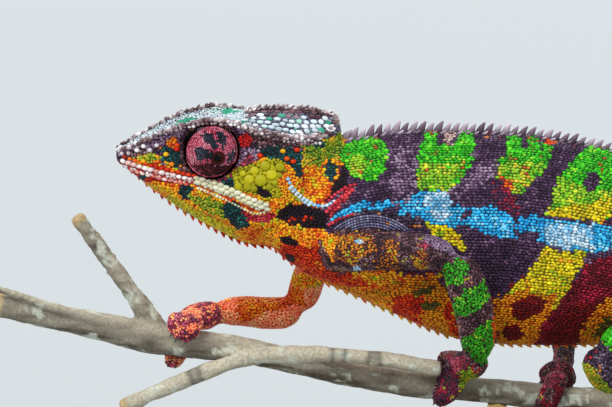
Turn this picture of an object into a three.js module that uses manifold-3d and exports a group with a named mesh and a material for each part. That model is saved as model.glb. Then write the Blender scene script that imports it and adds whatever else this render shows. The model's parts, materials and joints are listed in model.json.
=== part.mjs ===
// Panther chameleon (Furcifer pardalis), adult male, life size, walking along a cut perch on a display stand.
// Millimetres. +X runs from the snout towards the tail, the animal's left flank faces -Y, +Z is up.
// The origin is the centre of the stand's flat underside. The body's middle plane is Y = 0.
import * as THREE from 'three';
import { LoftGeometry } from 'three/addons/geometries/LoftGeometry.js';
import { mergeVertices } from 'three/addons/utils/BufferGeometryUtils.js';
import Module from 'manifold-3d';

const wasm = await Module();
wasm.setup();

const V = (x, y, z) => new THREE.Vector3(x, y, z);
const TAU = 2 * Math.PI;
const rad = THREE.MathUtils.degToRad;

// ---------- driving dimensions ----------
const GAP = 0.3;                 // clearance left wherever two solids meet
const BASE = { length: 160, width: 88, height: 9, corner: 12, bevel: 1.6 };
const ROD = { radius: 2.6, stations: [-12.5, 33] };

const HEAD_ROLL = rad(4);        // the head leans a little towards its left side
const HEAD_ROLL_AXIS_Z = 105;
const EYE = { x: -84.3, y: 8.9, z: 116.2, radius: 6.7, flat: 0.96 };
const EYEBALL = { radius: 2.1, sunk: 1.45 };
const GAZE = { left: V(2.0, -6.2, -1.1), right: V(-1.2, 6.3, -0.8) };

const NECK_START = -75;
const NECK_END = -62;
const TRUNK_END = 60;
const RING = 18;                 // corners round one section of the head or the trunk
const FLANK = { widest: 0.44, keel: 1.28 };
const DORSAL_SPINE = { pitch: 3.3, height: 2.0, radius: 1.2 };
const VENTRAL_SPINE = { pitch: 4.2, height: 1.3, radius: 1.1 };
const GULAR_SPINE = { pitch: 3.4, height: 1.5, radius: 0.8 };

const TAIL_COIL = { centre: V(88, 0, 50), first: 68, sweep: 600, steps: 24 };
const TAIL_REACH = { outer: 29.5, inner: 7.6, close: 0.8 };
const TAIL_LENGTHS = 6;
const TAIL_START = 0.021;        // share of the tail's line that lies inside the trunk
const CRESTED = 2;               // lengths of tail that carry the back's row of spines

const DIGIT = { half: 1.7, thick: 1.9 };
const CLAW = { radius: 0.75, length: 2.6, spread: 0.82 };
const CAP = { steps: [0.08, 0.35], least: 0.12 };

// ---------- helpers ----------
// Smooth values along a list of stations: each row is [position, value, value, ...].
function track(rows) {
  const positions = rows.map((row) => row[0]);
  const values = rows.flatMap((row) => row.slice(1));
  const size = rows[0].length - 1;
  const spline = new THREE.CubicInterpolant(positions, values, size, new Float64Array(size));
  const [first, last] = [positions[0], positions.at(-1)];
  return (at) => Array.from(spline.evaluate(THREE.MathUtils.clamp(at, first, last)));
}

// A closed geometry as a solid, turned to face outwards.
function solid(geometry) {
  const bare = new THREE.BufferGeometry().copy(geometry);
  bare.deleteAttribute('normal');
  bare.deleteAttribute('uv');
  const merged = mergeVertices(bare, 1e-4);
  const triVerts = new Uint32Array(merged.index.array);
  const points = merged.attributes.position;
  const [a, b, c] = [V(), V(), V()];
  let volume = 0;
  for (let i = 0; i < triVerts.length; i += 3) {
    a.fromBufferAttribute(points, triVerts[i]);
    b.fromBufferAttribute(points, triVerts[i + 1]);
    c.fromBufferAttribute(points, triVerts[i + 2]);
    volume += a.dot(b.cross(c));
  }
  if (volume < 0) {
    for (let i = 0; i < triVerts.length; i += 3) {
      [triVerts[i + 1], triVerts[i + 2]] = [triVerts[i + 2], triVerts[i + 1]];
    }
  }
  return new wasm.Manifold(new wasm.Mesh({ numProp: 3, vertProperties: points.array, triVerts }));
}

const join = (list) => list.reduce((whole, next) => whole.add(next));
const cut = (from, ...tools) => tools.reduce((left, tool) => left.subtract(tool), from);
const largest = (shape) => shape.decompose().sort((p, q) => q.volume() - p.volume())[0];

function loft(sections) {
  return solid(new LoftGeometry(sections, { closed: true, capStart: true, capEnd: true }));
}

function ball(centre, radius, scale = [1, 1, 1], detail = [16, 12]) {
  const geometry = new THREE.SphereGeometry(radius, ...detail);
  geometry.scale(...scale);
  geometry.translate(centre.x, centre.y, centre.z);
  return solid(geometry);
}

// A cone standing on a surface point, its tip along a direction.
function spine(foot, direction, height, radius, sides = 3) {
  const geometry = new THREE.ConeGeometry(radius, height * 1.5, sides);
  geometry.translate(0, height * 0.25, 0);
  const turn = new THREE.Quaternion().setFromUnitVectors(V(0, 1, 0), direction.clone().normalize());
  geometry.applyQuaternion(turn);
  geometry.translate(foot.x, foot.y, foot.z);
  return solid(geometry);
}

// A tube along a smooth line. Each row of sizes is [share of the length, across, deep], as half sizes:
// across is measured towards the side vector, deep at right angles to it. grow makes it fatter all round.
function tube(points, sizes, options = {}) {
  const { side = V(0, 1, 0), around = 12, slices = 10 } = options;
  const { from = 0, to = 1, round = [0, 0], grow = 0 } = options;
  const curve = new THREE.CatmullRomCurve3(points, false, 'centripetal');
  const half = track(sizes);
  const sections = [];
  const steps = [];
  const capped = (share, near) => (near > 0 && share < near ? Math.sqrt(1 - (1 - share / near) ** 2) : 1);
  for (let i = 0; i <= slices; i++) steps.push(i / slices);
  for (const share of CAP.steps) {
    if (round[0]) steps.push(round[0] * share);
    if (round[1]) steps.push(1 - round[1] * share);
  }
  steps.sort((p, q) => p - q);
  for (const step of steps) {
    const at = from + (to - from) * step;
    const centre = curve.getPointAt(at);
    const tangent = curve.getTangentAt(at);
    const deepAxis = V().crossVectors(tangent, side).normalize();
    const acrossAxis = V().crossVectors(deepAxis, tangent).normalize();
    const fit = Math.max(CAP.least, capped(step, round[0]) * capped(1 - step, round[1]));
    const [across, deep] = half(at).map((value) => value * fit + grow);
    sections.push(Array.from({ length: around }, (_, k) => {
      const angle = (TAU * k) / around;
      return centre.clone()
        .addScaledVector(acrossAxis, across * Math.cos(angle))
        .addScaledVector(deepAxis, deep * Math.sin(angle));
    }));
  }
  return loft(sections);
}

// ---------- head ----------
// Stations from snout to casque tip. Each names the skull roof on the middle line, then the
// canthal or lateral crest, the hollow under it, the cheek and the jaw (all as half breadth,
// height), then the chin.
const headForm = track([
  [-108.3, 114.4, 2.3, 114.9, 2.5, 114.0, 2.5, 113.0, 2.0, 112.0, 111.6],
  [-105.0, 115.2, 5.0, 116.6, 5.1, 115.2, 5.4, 112.6, 4.8, 110.4, 109.2],
  [-100.0, 117.2, 7.1, 119.2, 6.7, 116.6, 7.4, 111.4, 6.8, 107.6, 104.9],
  [-92.0, 120.0, 8.8, 122.4, 7.3, 118.0, 9.8, 109.6, 8.4, 103.0, 98.9],
  [-84.0, 121.6, 9.5, 124.0, 7.8, 118.4, 12.0, 107.6, 9.8, 99.4, 94.1],
  [-78.0, 123.6, 10.2, 123.4, 9.6, 117.4, 13.6, 107.0, 10.6, 97.4, 91.0],
  [-74.5, 125.1, 10.9, 121.9, 10.9, 117.2, 14.3, 107.0, 10.9, 96.6, 89.8],
  [-68.7, 125.7, 11.1, 120.5, 11.7, 116.0, 14.5, 106.6, 11.0, 96.6, 89.4],
  [-62.5, 125.6, 9.8, 119.1, 11.2, 114.8, 13.2, 107.4, 9.6, 101.0, 97.6],
  [-56.3, 125.2, 5.8, 118.8, 6.6, 116.8, 7.0, 114.0, 5.0, 111.4, 110.2],
  [-52.2, 124.4, 1.4, 120.6, 1.6, 119.2, 1.5, 118.5, 1.1, 117.9, 117.5],
]);

function rolled(point) {
  const axis = V(0, 0, HEAD_ROLL_AXIS_Z);
  return point.sub(axis).applyAxisAngle(V(1, 0, 0), HEAD_ROLL).add(axis);
}

function headSection(x, grow) {
  const [roof, ridgeY, ridgeZ, hollowY, hollowZ, cheekY, cheekZ, jawY, jawZ, chin] = headForm(x);
  const left = [[ridgeY, ridgeZ], [hollowY, hollowZ], [cheekY, cheekZ], [jawY, jawZ]];
  const outline = [V(x, 0, roof)];
  for (const [y, z] of left) outline.push(V(x, -y, z));
  outline.push(V(x, 0, chin));
  for (const [y, z] of left.toReversed()) outline.push(V(x, y, z));
  const middle = V(x, 0, (ridgeZ + chin) / 2);
  for (const point of outline) {
    const out = point.clone().sub(middle);
    point.addScaledVector(out.normalize(), grow);
  }
  const curve = new THREE.CatmullRomCurve3(outline, true, 'catmullrom', 0.42);
  return Array.from({ length: RING }, (_, k) => rolled(curve.getPoint(k / RING)));
}

function headShape(grow = 0) {
  const stops = [-108.3, -107, -105, -100, -96, -92, -88, -84, -80.5, -78, -76, -74.5, -68.7, -62.5, -59.3,
    -56.3, -54, -52.2];
  const first = stops[0] - grow;
  const last = stops.at(-1) + grow;
  const shifted = stops.map((x) => (x === stops[0] ? first : x === stops.at(-1) ? last : x));
  return loft(shifted.map((x) => headSection(x, grow)));
}

const onHead = (point) => rolled(point.clone());
const eyeCentre = (sign) => onHead(V(EYE.x, sign * EYE.y, EYE.z));

function eyeParts(sign, gaze) {
  const centre = eyeCentre(sign);
  const sight = gaze.clone().normalize();
  const seat = centre.clone().addScaledVector(sight, EYE.radius - EYEBALL.sunk);
  const globe = (grow) => ball(centre, EYE.radius + grow, [1, EYE.flat, 1], [13, 8]);
  const pupil = (grow) => ball(seat, EYEBALL.radius + grow, [1, 1, 1], [8, 5]);
  return { turret: cut(globe(0), pupil(GAP)), socket: globe(GAP), ball: pupil(0) };
}

// ---------- neck and trunk ----------
// Stations: back, belly, half breadth. The flanks are flattened, the back narrows to a keel.
const trunkForm = track([
  [-76.0, 112.0, 94.0, 9.6],
  [-69.0, 115.4, 89.0, 12.0],
  [-62.5, 118.0, 83.4, 13.0],
  [-52.3, 117.2, 78.9, 13.9],
  [-39.0, 119.6, 72.7, 14.9],
  [-25.2, 119.6, 66.8, 15.7],
  [-12.0, 119.4, 64.8, 16.0],
  [4.0, 117.4, 64.6, 16.0],
  [16.0, 114.8, 64.7, 15.6],
  [30.0, 110.4, 66.4, 14.4],
  [42.0, 105.4, 69.8, 12.4],
  [52.0, 100.4, 73.2, 9.8],
  [60.0, 95.6, 76.6, 7.4],
]);

function trunkSection(x, grow) {
  const [back, belly, breadth] = trunkForm(x);
  const widest = belly + FLANK.widest * (back - belly);
  return Array.from({ length: RING }, (_, k) => {
    const angle = (TAU * k) / RING;
    const sine = Math.sin(angle);
    const reach = Math.cos(angle) > 0 ? back - widest : widest - belly;
    const keel = Math.cos(angle) > 0 ? FLANK.keel : 1;
    const y = Math.sign(sine) * Math.abs(sine) ** keel * (breadth + grow);
    return V(x, -y, widest + (reach + grow) * Math.cos(angle));
  });
}

function trunkShape(from, to, slices, grow = 0) {
  const sections = [];
  for (let i = 0; i <= slices; i++) sections.push(trunkSection(from + ((to - from) * i) / slices, grow));
  return loft(sections);
}

function row(from, to, pitch, make) {
  const count = Math.floor((to - from) / pitch);
  return Array.from({ length: count + 1 }, (_, k) => make(from + k * pitch, k / count, k));
}

const dorsalSpines = row(-50.5, 58, DORSAL_SPINE.pitch, (x, share, k) => {
  const size = 1 - 0.45 * share + 0.12 * Math.sin(k * 2.4);
  return spine(V(x, 0, trunkForm(x)[0]), V(0.32, 0, 1), DORSAL_SPINE.height * size, DORSAL_SPINE.radius);
});

const ventralSpines = row(-56.0, 50, VENTRAL_SPINE.pitch, (x, share, k) => {
  const size = 1 - 0.35 * share + 0.12 * Math.sin(k * 1.9);
  return spine(V(x, 0, trunkForm(x)[1]), V(0.25, 0, -1), VENTRAL_SPINE.height * size, VENTRAL_SPINE.radius);
});

const gularSpines = row(-105.5, -71.5, GULAR_SPINE.pitch, (x, share, k) => {
  const size = 0.75 + 0.35 * Math.sin(Math.PI * share) + 0.12 * Math.sin(k * 2.1);
  const foot = onHead(V(x, 0, headForm(x)[9]));
  return spine(foot, V(0.15, 0, -1), GULAR_SPINE.height * size, GULAR_SPINE.radius);
});

// ---------- legs ----------
// Each leg: joint positions, then the half sizes of its two long parts.
const LEGS = {
  fore_left: {
    upper: [V(-55, -9, 91), V(-46, -15.5, 91.5), V(-35, -20, 92.5), V(-25, -22.5, 91.5)],
    upperSize: [[0, 6.6, 6.4], [0.4, 5.2, 5.5], [0.75, 4.9, 5.3], [1, 5.2, 5.6]],
    lower: [V(-25, -22.5, 91.5), V(-21.6, -22, 83), V(-19.2, -18.9, 73), V(-18.8, -13.4, 64.4)],
    lowerSize: [[0, 5.0, 5.4], [0.3, 4.8, 5.4], [0.65, 4.5, 5.1], [1, 4.0, 4.4]],
    palm: V(-21.0, -6.8, 60.6),
  },
  fore_right: {
    upper: [V(-55.5, 8, 90), V(-58.8, 13.5, 83), V(-61.2, 17.5, 76), V(-62, 19.5, 70)],
    upperSize: [[0, 6.0, 5.6], [0.4, 4.8, 5.0], [0.8, 4.5, 4.9], [1, 4.7, 5.0]],
    lower: [V(-62, 19.5, 70), V(-69, 17.5, 69.2), V(-77, 12.5, 71), V(-84, 6.5, 72)],
    lowerSize: [[0, 4.6, 4.9], [0.3, 4.4, 4.8], [0.65, 4.0, 4.4], [1, 3.4, 3.7]],
    palm: V(-90, 1.2, 71),
  },
  hind_left: {
    upper: [V(42, -7, 80), V(32, -14, 77.5), V(21, -21, 73.5), V(10.4, -25, 69)],
    upperSize: [[0, 6.6, 7.6], [0.4, 5.6, 6.4], [0.75, 5.0, 5.6], [1, 5.0, 5.4]],
    lower: [V(10.4, -25, 69), V(11, -21.5, 63.5), V(15.5, -14.5, 59.5), V(20.6, -8.4, 57.6)],
    lowerSize: [[0, 5.0, 5.4], [0.3, 4.8, 5.3], [0.65, 4.2, 4.6], [1, 3.3, 3.6]],
    palm: V(24, -3.6, 55.4),
  },
  hind_right: {
    upper: [V(40, 7, 81), V(31, 14, 77), V(20, 20, 71.5), V(8.6, 22.5, 67)],
    upperSize: [[0, 6.6, 7.6], [0.4, 5.6, 6.4], [0.75, 4.8, 5.4], [1, 4.5, 4.9]],
    lower: [V(8.6, 22.5, 67), V(6.0, 19.5, 63), V(5.6, 12.5, 59.6), V(4.4, 6.5, 57.3)],
    lowerSize: [[0, 4.5, 4.7], [0.3, 3.4, 4.0], [0.65, 3.0, 3.3], [1, 3.1, 3.3]],
    palm: V(2.4, 2.0, 55.2),
  },
};

const limb = (leg, part, grow = 0) => tube(LEGS[leg][part], LEGS[leg][`${part}Size`], {
  side: part === 'upper' ? V(0, 0, 1) : V(0, 1, 0),
  around: 10,
  slices: 5,
  round: part === 'upper' ? [0, 0.16] : [0.16, 0.1],
  grow,
});

// ---------- perch ----------
const PERCH_LINE = [V(-140, 0, 75.4), V(-123, 0.5, 71.7), V(-108, 0.2, 68.4), V(-96.5, 0, 65.5),
  V(-86, 0, 64.8), V(-74, 0, 63), V(-52.5, 0, 57.8), V(-29.5, 0, 54.2), V(-15.5, 0, 53.2), V(-1, 0, 51.4),
  V(19, 0.4, 49.6), V(44, 0, 48)];
const PERCH_SIZE = [[0, 3.5, 3.5], [0.15, 3.9, 3.8], [0.24, 4.6, 4.3], [0.3, 3.9, 3.8], [0.5, 3.7, 3.6],
  [0.75, 3.6, 3.5], [1, 3.5, 3.4]];
const SHOOT_LINE = [V(-107.5, -8, 50.4), V(-99, -7.5, 54.2), V(-88.5, -7, 58.6), V(-80, -6.4, 61.6),
  V(-70.5, -5.7, 63.6), V(-63, -5.5, 63.5), V(-52.8, -6.2, 63.6), V(-37.5, -6.8, 62), V(-27, -7, 60)];
const SHOOT_SIZE = [[0, 2.3, 2.3], [0.2, 2.4, 2.4], [0.24, 2.9, 2.9], [0.29, 2.4, 2.4], [0.5, 2.5, 2.5],
  [0.54, 2.8, 2.8], [0.58, 2.5, 2.5], [1, 2.4, 2.4]];
const FORK_LINE = [V(-97.5, 1.2, 67), V(-105, 2, 78), V(-112.5, 2.6, 88.5), V(-119, 3, 97.5)];
const FORK_SIZE = [[0, 3.3, 3.3], [0.25, 2.7, 2.7], [1, 2.3, 2.3]];
const TWIG_LINE = [V(-104, -2.2, 69.2), V(-113, -2.8, 72), V(-124, -3.2, 75), V(-139.5, -3.4, 80.5)];
const TWIG_SIZE = [[0, 1.4, 1.4], [0.5, 1.5, 1.5], [1, 1.4, 1.4]];
const perchCurve = new THREE.CatmullRomCurve3(PERCH_LINE, false, 'centripetal');

function perchShape(grow = 0) {
  return join([
    tube(PERCH_LINE, PERCH_SIZE, { around: 9, slices: 14, grow }),
    tube(SHOOT_LINE, SHOOT_SIZE, { around: 7, slices: 11, grow }),
    tube(FORK_LINE, FORK_SIZE, { around: 7, slices: 3, grow }),
    tube(TWIG_LINE, TWIG_SIZE, { around: 5, slices: 3, grow }),
  ]);
}

function perchAt(x) {
  let [low, high] = [0, 1];
  for (let i = 0; i < 40; i++) {
    const middle = (low + high) / 2;
    if (perchCurve.getPointAt(middle).x < x) low = middle;
    else high = middle;
  }
  const half = track(PERCH_SIZE)(low);
  return { centre: perchCurve.getPointAt(low), along: perchCurve.getTangentAt(low), radius: half[1] };
}

// ---------- gripping feet ----------
// The digits are fused in two bundles, one either side of the perch, each ending in its claws.
// Turns run from the top of the perch (0) over its left face (positive) or right face (negative).
// Shift is a bundle's place along the perch at the root and slide how far it has moved on at the tip;
// lift is how far it arches clear of the perch at the root, knuckles how much broader it is there.
function bundle(palm, grip, { digits, shift, slide, turn, lift, knuckles = 1 }) {
  const up = V(0, 0, 1).addScaledVector(grip.along, -grip.along.z).normalize();
  const left = V().crossVectors(grip.along, up).normalize();
  if (left.y > 0) left.negate();
  const reach = grip.radius + GAP + 0.15 + DIGIT.thick;
  const ring = (share, extra) => grip.centre.clone()
    .addScaledVector(grip.along, shift + slide * share)
    .addScaledVector(up, Math.cos(rad(turn * share)) * (reach + extra))
    .addScaledVector(left, Math.sin(rad(turn * share)) * (reach + extra));
  const root = palm.clone().addScaledVector(grip.along, shift * 0.4);
  const line = [root, ring(0.3, lift), ring(0.62, lift * 0.4), ring(0.84, 0), ring(1, 0)];
  const breadth = digits * DIGIT.half;
  const sizes = [[0, 2.9 * knuckles, DIGIT.thick * 1.2], [0.45, breadth * knuckles, DIGIT.thick],
    [0.8, breadth, DIGIT.thick * 0.9], [1, breadth * 0.9, DIGIT.thick * 0.7]];
  const shapes = [tube(line, sizes, { side: grip.along, around: 7, slices: 4, round: [0, 0.12] })];
  const tip = line.at(-1);
  const onward = tip.clone().sub(line.at(-2)).normalize();
  const aim = onward.clone().addScaledVector(tip.clone().sub(grip.centre).normalize(), 0.25);
  for (let digit = 0; digit < digits; digit++) {
    const across = (digit - (digits - 1) / 2) * 2 * DIGIT.half * CLAW.spread;
    const seat = tip.clone().addScaledVector(onward, DIGIT.thick * 0.35).addScaledVector(grip.along, across);
    shapes.push(spine(seat, aim, CLAW.length, CLAW.radius, 4));
  }
  return join(shapes);
}

function foot(leg, at, bundles, palmSize) {
  const grip = perchAt(at);
  const { palm, lower } = LEGS[leg];
  const wrist = lower.at(-1);
  const sole = tube([wrist, wrist.clone().lerp(palm, 0.55), palm, palm.clone().lerp(wrist, -0.35)],
    [[0, 3.1, 3.4], [0.5, palmSize[0], palmSize[1]], [1, palmSize[0] * 0.8, palmSize[1] * 0.8]],
    { side: grip.along, around: 8, slices: 3, round: [0, 0.35] });
  return join([sole, ...bundles.map((each) => bundle(palm, grip, each))]);
}

const feet = {
  fore_left: foot('fore_left', -23, [
    { digits: 2, shift: 1.5, slide: -6.5, turn: 128, lift: 1.0, knuckles: 1.3 },
    { digits: 3, shift: 0.5, slide: -5.5, turn: -140, lift: 3.4 },
  ], [4.8, 3.8]),
  fore_right: foot('fore_right', -90.5, [
    { digits: 3, shift: 1.0, slide: -4.0, turn: 66, lift: 1.8 },
    { digits: 2, shift: -1.0, slide: -3.4, turn: -172, lift: 1.2 },
  ], [4.8, 3.6]),
  hind_left: foot('hind_left', 24, [
    { digits: 3, shift: 0.8, slide: -2.0, turn: 150, lift: 1.2 },
    { digits: 2, shift: 0, slide: 1.0, turn: -150, lift: 1.2 },
  ], [4.6, 3.4]),
  hind_right: foot('hind_right', 2.5, [
    { digits: 2, shift: 0.2, slide: -5.4, turn: 140, lift: 1.4 },
    { digits: 3, shift: 1.0, slide: -1.2, turn: -150, lift: 1.2 },
  ], [5.4, 3.6]),
};

// ---------- tail ----------
// Straight root, then a flat spiral that winds downwards and inwards without touching itself.
const tailLine = [V(56, 0, 86.9), V(66, 0, 85.2), V(76, 0, 82.8), V(86, 0, 80.4)];
for (let step = 0; step <= TAIL_COIL.steps; step++) {
  const share = step / TAIL_COIL.steps;
  const angle = rad(TAIL_COIL.first - TAIL_COIL.sweep * share);
  const reach = THREE.MathUtils.lerp(TAIL_REACH.outer, TAIL_REACH.inner, share ** TAIL_REACH.close);
  tailLine.push(V(Math.cos(angle), 0, Math.sin(angle)).multiplyScalar(reach).add(TAIL_COIL.centre));
}
const TAIL_SIZE = [[0, 7.7, 9.7], [0.04, 7.0, 8.9], [0.1, 5.9, 7.4], [0.2, 4.9, 5.9], [0.4, 3.7, 4.3],
  [0.7, 2.2, 2.5], [1, 0.9, 1.0]];
const tailCurve = new THREE.CatmullRomCurve3(tailLine, false, 'centripetal');
const tailShare = (1 - TAIL_START) / TAIL_LENGTHS;

function tailPiece(index) {
  const slack = GAP / 2 / tailCurve.getLength();
  const from = TAIL_START + index * tailShare + (index ? slack : 0);
  const to = TAIL_START + (index + 1) * tailShare - (index < TAIL_LENGTHS - 1 ? slack : 0);
  return tube(tailLine, TAIL_SIZE, {
    around: index < CRESTED ? 10 : 8,
    slices: 7,
    from,
    to: Math.min(to, 1),
    round: [0, index === TAIL_LENGTHS - 1 ? 0.12 : 0],
  });
}

function tailSpines(index) {
  const count = 8;
  return Array.from({ length: count }, (_, k) => {
    const at = TAIL_START + (index + (k + 0.6) / (count + 0.4)) * tailShare;
    const outward = V().crossVectors(tailCurve.getTangentAt(at), V(0, -1, 0)).normalize();
    const deep = track(TAIL_SIZE)(at)[1];
    const foot = tailCurve.getPointAt(at).addScaledVector(outward, deep * 0.98);
    const lean = outward.clone().addScaledVector(tailCurve.getTangentAt(at), 0.35);
    return spine(foot, lean, 1.0 - 0.35 * index, 0.9);
  });
}

// ---------- stand ----------
function baseShape() {
  const { length, width, height, corner, bevel } = BASE;
  const [x, y] = [length / 2 - corner, width / 2 - corner];
  const outline = new THREE.Shape();
  const inset = corner - bevel;
  outline.absarc(x, y, inset, 0, Math.PI / 2, false);
  outline.absarc(-x, y, inset, Math.PI / 2, Math.PI, false);
  outline.absarc(-x, -y, inset, Math.PI, Math.PI * 1.5, false);
  outline.absarc(x, -y, inset, Math.PI * 1.5, TAU, false);
  const geometry = new THREE.ExtrudeGeometry(outline, {
    depth: height - 2 * bevel,
    bevelSize: bevel,
    bevelThickness: bevel,
    bevelSegments: 1,
    curveSegments: 3,
  });
  geometry.translate(0, 0, bevel);
  return solid(geometry);
}

function rodShape(x) {
  const { centre } = perchAt(x);
  const top = centre.z;
  const bottom = BASE.height + GAP;
  const geometry = new THREE.CylinderGeometry(ROD.radius, ROD.radius, top - bottom, 12);
  geometry.rotateX(Math.PI / 2);
  geometry.translate(x, centre.y, (top + bottom) / 2);
  return largest(cut(solid(geometry), perchShape(GAP)));
}

// ---------- assembly ----------
const part = new THREE.Group();
part.name = 'panther_chameleon';

function place(name, shape, color, roughness = 0.7) {
  const { vertProperties, triVerts, numProp } = shape.getMesh();
  const geometry = new THREE.BufferGeometry();
  const positions = new Float32Array((vertProperties.length / numProp) * 3);
  for (let i = 0; i < positions.length / 3; i++) {
    for (let k = 0; k < 3; k++) positions[3 * i + k] = vertProperties[numProp * i + k];
  }
  geometry.setAttribute('position', new THREE.BufferAttribute(positions, 3));
  geometry.setIndex(new THREE.BufferAttribute(triVerts, 1));
  const mesh = new THREE.Mesh(geometry, new THREE.MeshStandardMaterial({ color, roughness }));
  mesh.name = name;
  part.add(mesh);
}

const FLESH = { head: 0xb8742a, neck: 0xa8631f, trunk: 0x5a2a4a, leg: 0x4f7a2c, foot: 0x8a2f48, tail: 0x6a3344 };

const left = eyeParts(-1, GAZE.left);
const right = eyeParts(1, GAZE.right);
place('head', largest(cut(join([headShape(), ...gularSpines]), left.socket, right.socket)), FLESH.head);
place('eye_left', left.turret, 0xa02038);
place('eye_right', right.turret, 0xa02038);
place('eyeball_left', left.ball, 0x101010, 0.2);
place('eyeball_right', right.ball, 0x101010, 0.2);

const headGrown = headShape(GAP);
const neck = cut(trunkShape(NECK_START, NECK_END - GAP, 5), headGrown, left.socket, right.socket);
place('neck', largest(neck), FLESH.neck);
const trunk = join([trunkShape(NECK_END, TRUNK_END, 16), ...dorsalSpines, ...ventralSpines]);
place('trunk', largest(cut(trunk, headGrown)), FLESH.trunk);

const trunkGrown = trunkShape(NECK_END - 3, TRUNK_END, 16, GAP);
const perchGrown = perchShape(GAP);
for (const leg of Object.keys(LEGS)) {
  const fore = leg.startsWith('fore');
  const upper = largest(cut(limb(leg, 'upper'), trunkGrown, headGrown));
  const lower = largest(cut(limb(leg, 'lower'), limb(leg, 'upper', GAP), trunkGrown, perchGrown));
  const end = largest(cut(feet[leg], limb(leg, 'lower', GAP), perchGrown));
  place(`${leg}_${fore ? 'upper_arm' : 'thigh'}`, upper, FLESH.leg);
  place(`${leg}_${fore ? 'forearm' : 'shank'}`, lower, FLESH.leg);
  place(`${leg}_${fore ? 'hand' : 'foot'}`, end, FLESH.foot);
}

for (let index = 0; index < TAIL_LENGTHS; index++) {
  const bare = tailPiece(index);
  const whole = index < CRESTED ? join([bare, ...tailSpines(index)]) : bare;
  const shape = index === 0 ? largest(cut(whole, trunkShape(30, TRUNK_END + GAP, 8))) : whole;
  place(`tail_${index + 1}`, shape, FLESH.tail);
}

place('perch', perchShape(), 0xa79f8a, 0.9);
place('stand_base', baseShape(), 0x5a4230, 0.6);
place('stand_rod_front', rodShape(ROD.stations[0]), 0xb0975a, 0.4);
place('stand_rod_back', rodShape(ROD.stations[1]), 0xb0975a, 0.4);

export default part;
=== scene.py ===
# %% [markdown]
# # A panther chameleon on a cut perch
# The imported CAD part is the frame: every solid keeps its place, and this lesson grows the finished surface
# over it. One skin is cast over all the flesh, tens of thousands of solid scales are set into it, and the
# eyes, claws, crests, perch and stand are made as pieces of their own. The same markings colour the skin
# and the scales.

# %% The frame
import json
import math

import bpy
import numpy as np
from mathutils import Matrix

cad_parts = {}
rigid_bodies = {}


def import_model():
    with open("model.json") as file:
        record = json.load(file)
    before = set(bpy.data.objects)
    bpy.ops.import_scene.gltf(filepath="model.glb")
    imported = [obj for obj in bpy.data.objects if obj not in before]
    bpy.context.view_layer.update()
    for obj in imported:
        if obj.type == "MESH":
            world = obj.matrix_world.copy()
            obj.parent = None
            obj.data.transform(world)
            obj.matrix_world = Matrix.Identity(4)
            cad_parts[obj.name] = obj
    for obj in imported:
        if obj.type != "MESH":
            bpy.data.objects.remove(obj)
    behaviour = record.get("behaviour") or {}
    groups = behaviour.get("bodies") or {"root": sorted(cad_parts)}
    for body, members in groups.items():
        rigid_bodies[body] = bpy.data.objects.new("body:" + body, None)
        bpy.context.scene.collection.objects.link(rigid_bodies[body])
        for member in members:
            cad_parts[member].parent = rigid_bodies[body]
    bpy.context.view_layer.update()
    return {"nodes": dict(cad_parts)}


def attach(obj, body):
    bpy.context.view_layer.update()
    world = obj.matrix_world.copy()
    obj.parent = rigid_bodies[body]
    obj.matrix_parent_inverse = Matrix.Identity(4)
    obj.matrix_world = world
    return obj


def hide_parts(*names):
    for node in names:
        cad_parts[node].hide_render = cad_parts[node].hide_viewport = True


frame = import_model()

import openvdb as vdb
from mathutils import Vector
from mathutils.bvhtree import BVHTree
from mathutils.kdtree import KDTree

MM = 0.001                          # work is in millimetres until a mesh is made
RNG = np.random.default_rng(7)

# %% [markdown]
# ## Landmarks of the pose
# A sculptor marks the joints before modelling. The same few joints steer how soft the skin folds near them
# and which way the scales lie. They are the joints of the CAD solids, in millimetres.

# %% Joints, tail coil and head lean
def numbers(text):
    """Tuples of numbers from words such as 1,2,3; a word without a comma gives one number."""
    values = [tuple(float(v) for v in word.split(",")) for word in text.split()]
    return [value if len(value) > 1 else value[0] for value in values]


LEGS = {                            # root, bend, wrist and palm of each leg
    "fore_left": "-55,-9,91 -25,-22.5,91.5 -18.8,-13.4,64.4 -21,-6.8,60.6",
    "fore_right": "-55.5,8,90 -62,19.5,70 -84,6.5,72 -90,1.2,71",
    "hind_left": "42,-7,80 10.4,-25,69 20.6,-8.4,57.6 24,-3.6,55.4",
    "hind_right": "40,7,81 8.6,22.5,67 4.4,6.5,57.3 2.4,2,55.2",
}
LEGS = {leg: dict(zip(("root", "bend", "wrist", "palm"), numbers(joints))) for leg, joints in LEGS.items()}
HEAD_LEAN = math.radians(4)
HEAD_AXIS_Z = 105                   # height of the line that the head leans about
HEAD_BACK = -48                     # nothing of the head lies behind this x
ROOF_FROM, ROOF_TO = -96, -75       # the skull's roof over the eye sockets, along x
FOLD_X, FOLD_Z = -45, 88            # middle of the folds of skin that curve over the near foreleg
EYE = dict(centre=(-84.3, 8.9, 116.2), radius=6.7)
GAZE = {"left": (2.0, -6.2, -1.1), "right": (-1.2, 6.3, -0.8)}
COIL = dict(centre=(88, 50), first=68, sweep=600, outer=29.5, inner=7.6)
COAT = 0.32                         # depth kept free above the skin for the scales


def leaned(points, angle=HEAD_LEAN):
    """Turns points about the long axis at the height of the jaw, as the whole head leans."""
    p = np.array(points, float)
    c, s = math.cos(angle), math.sin(angle)
    y, z = p[..., 1].copy(), p[..., 2] - HEAD_AXIS_Z
    p[..., 1], p[..., 2] = y * c - z * s, y * s + z * c + HEAD_AXIS_Z
    return p


# x, half breadth and height of the ridge over the eye, before the lean
BROW = np.array(numbers("""
    -108.3,2.3,114.9 -105,5,116.6 -100,7.1,119.2 -92,8.8,122.4 -84,9.5,124 -78,10.2,123.4 -74.5,10.9,121.9
    -68.7,11.1,120.5 -62.5,9.8,119.1 -56.3,5.8,118.8 -52.2,1.4,120.6
"""))


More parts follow.
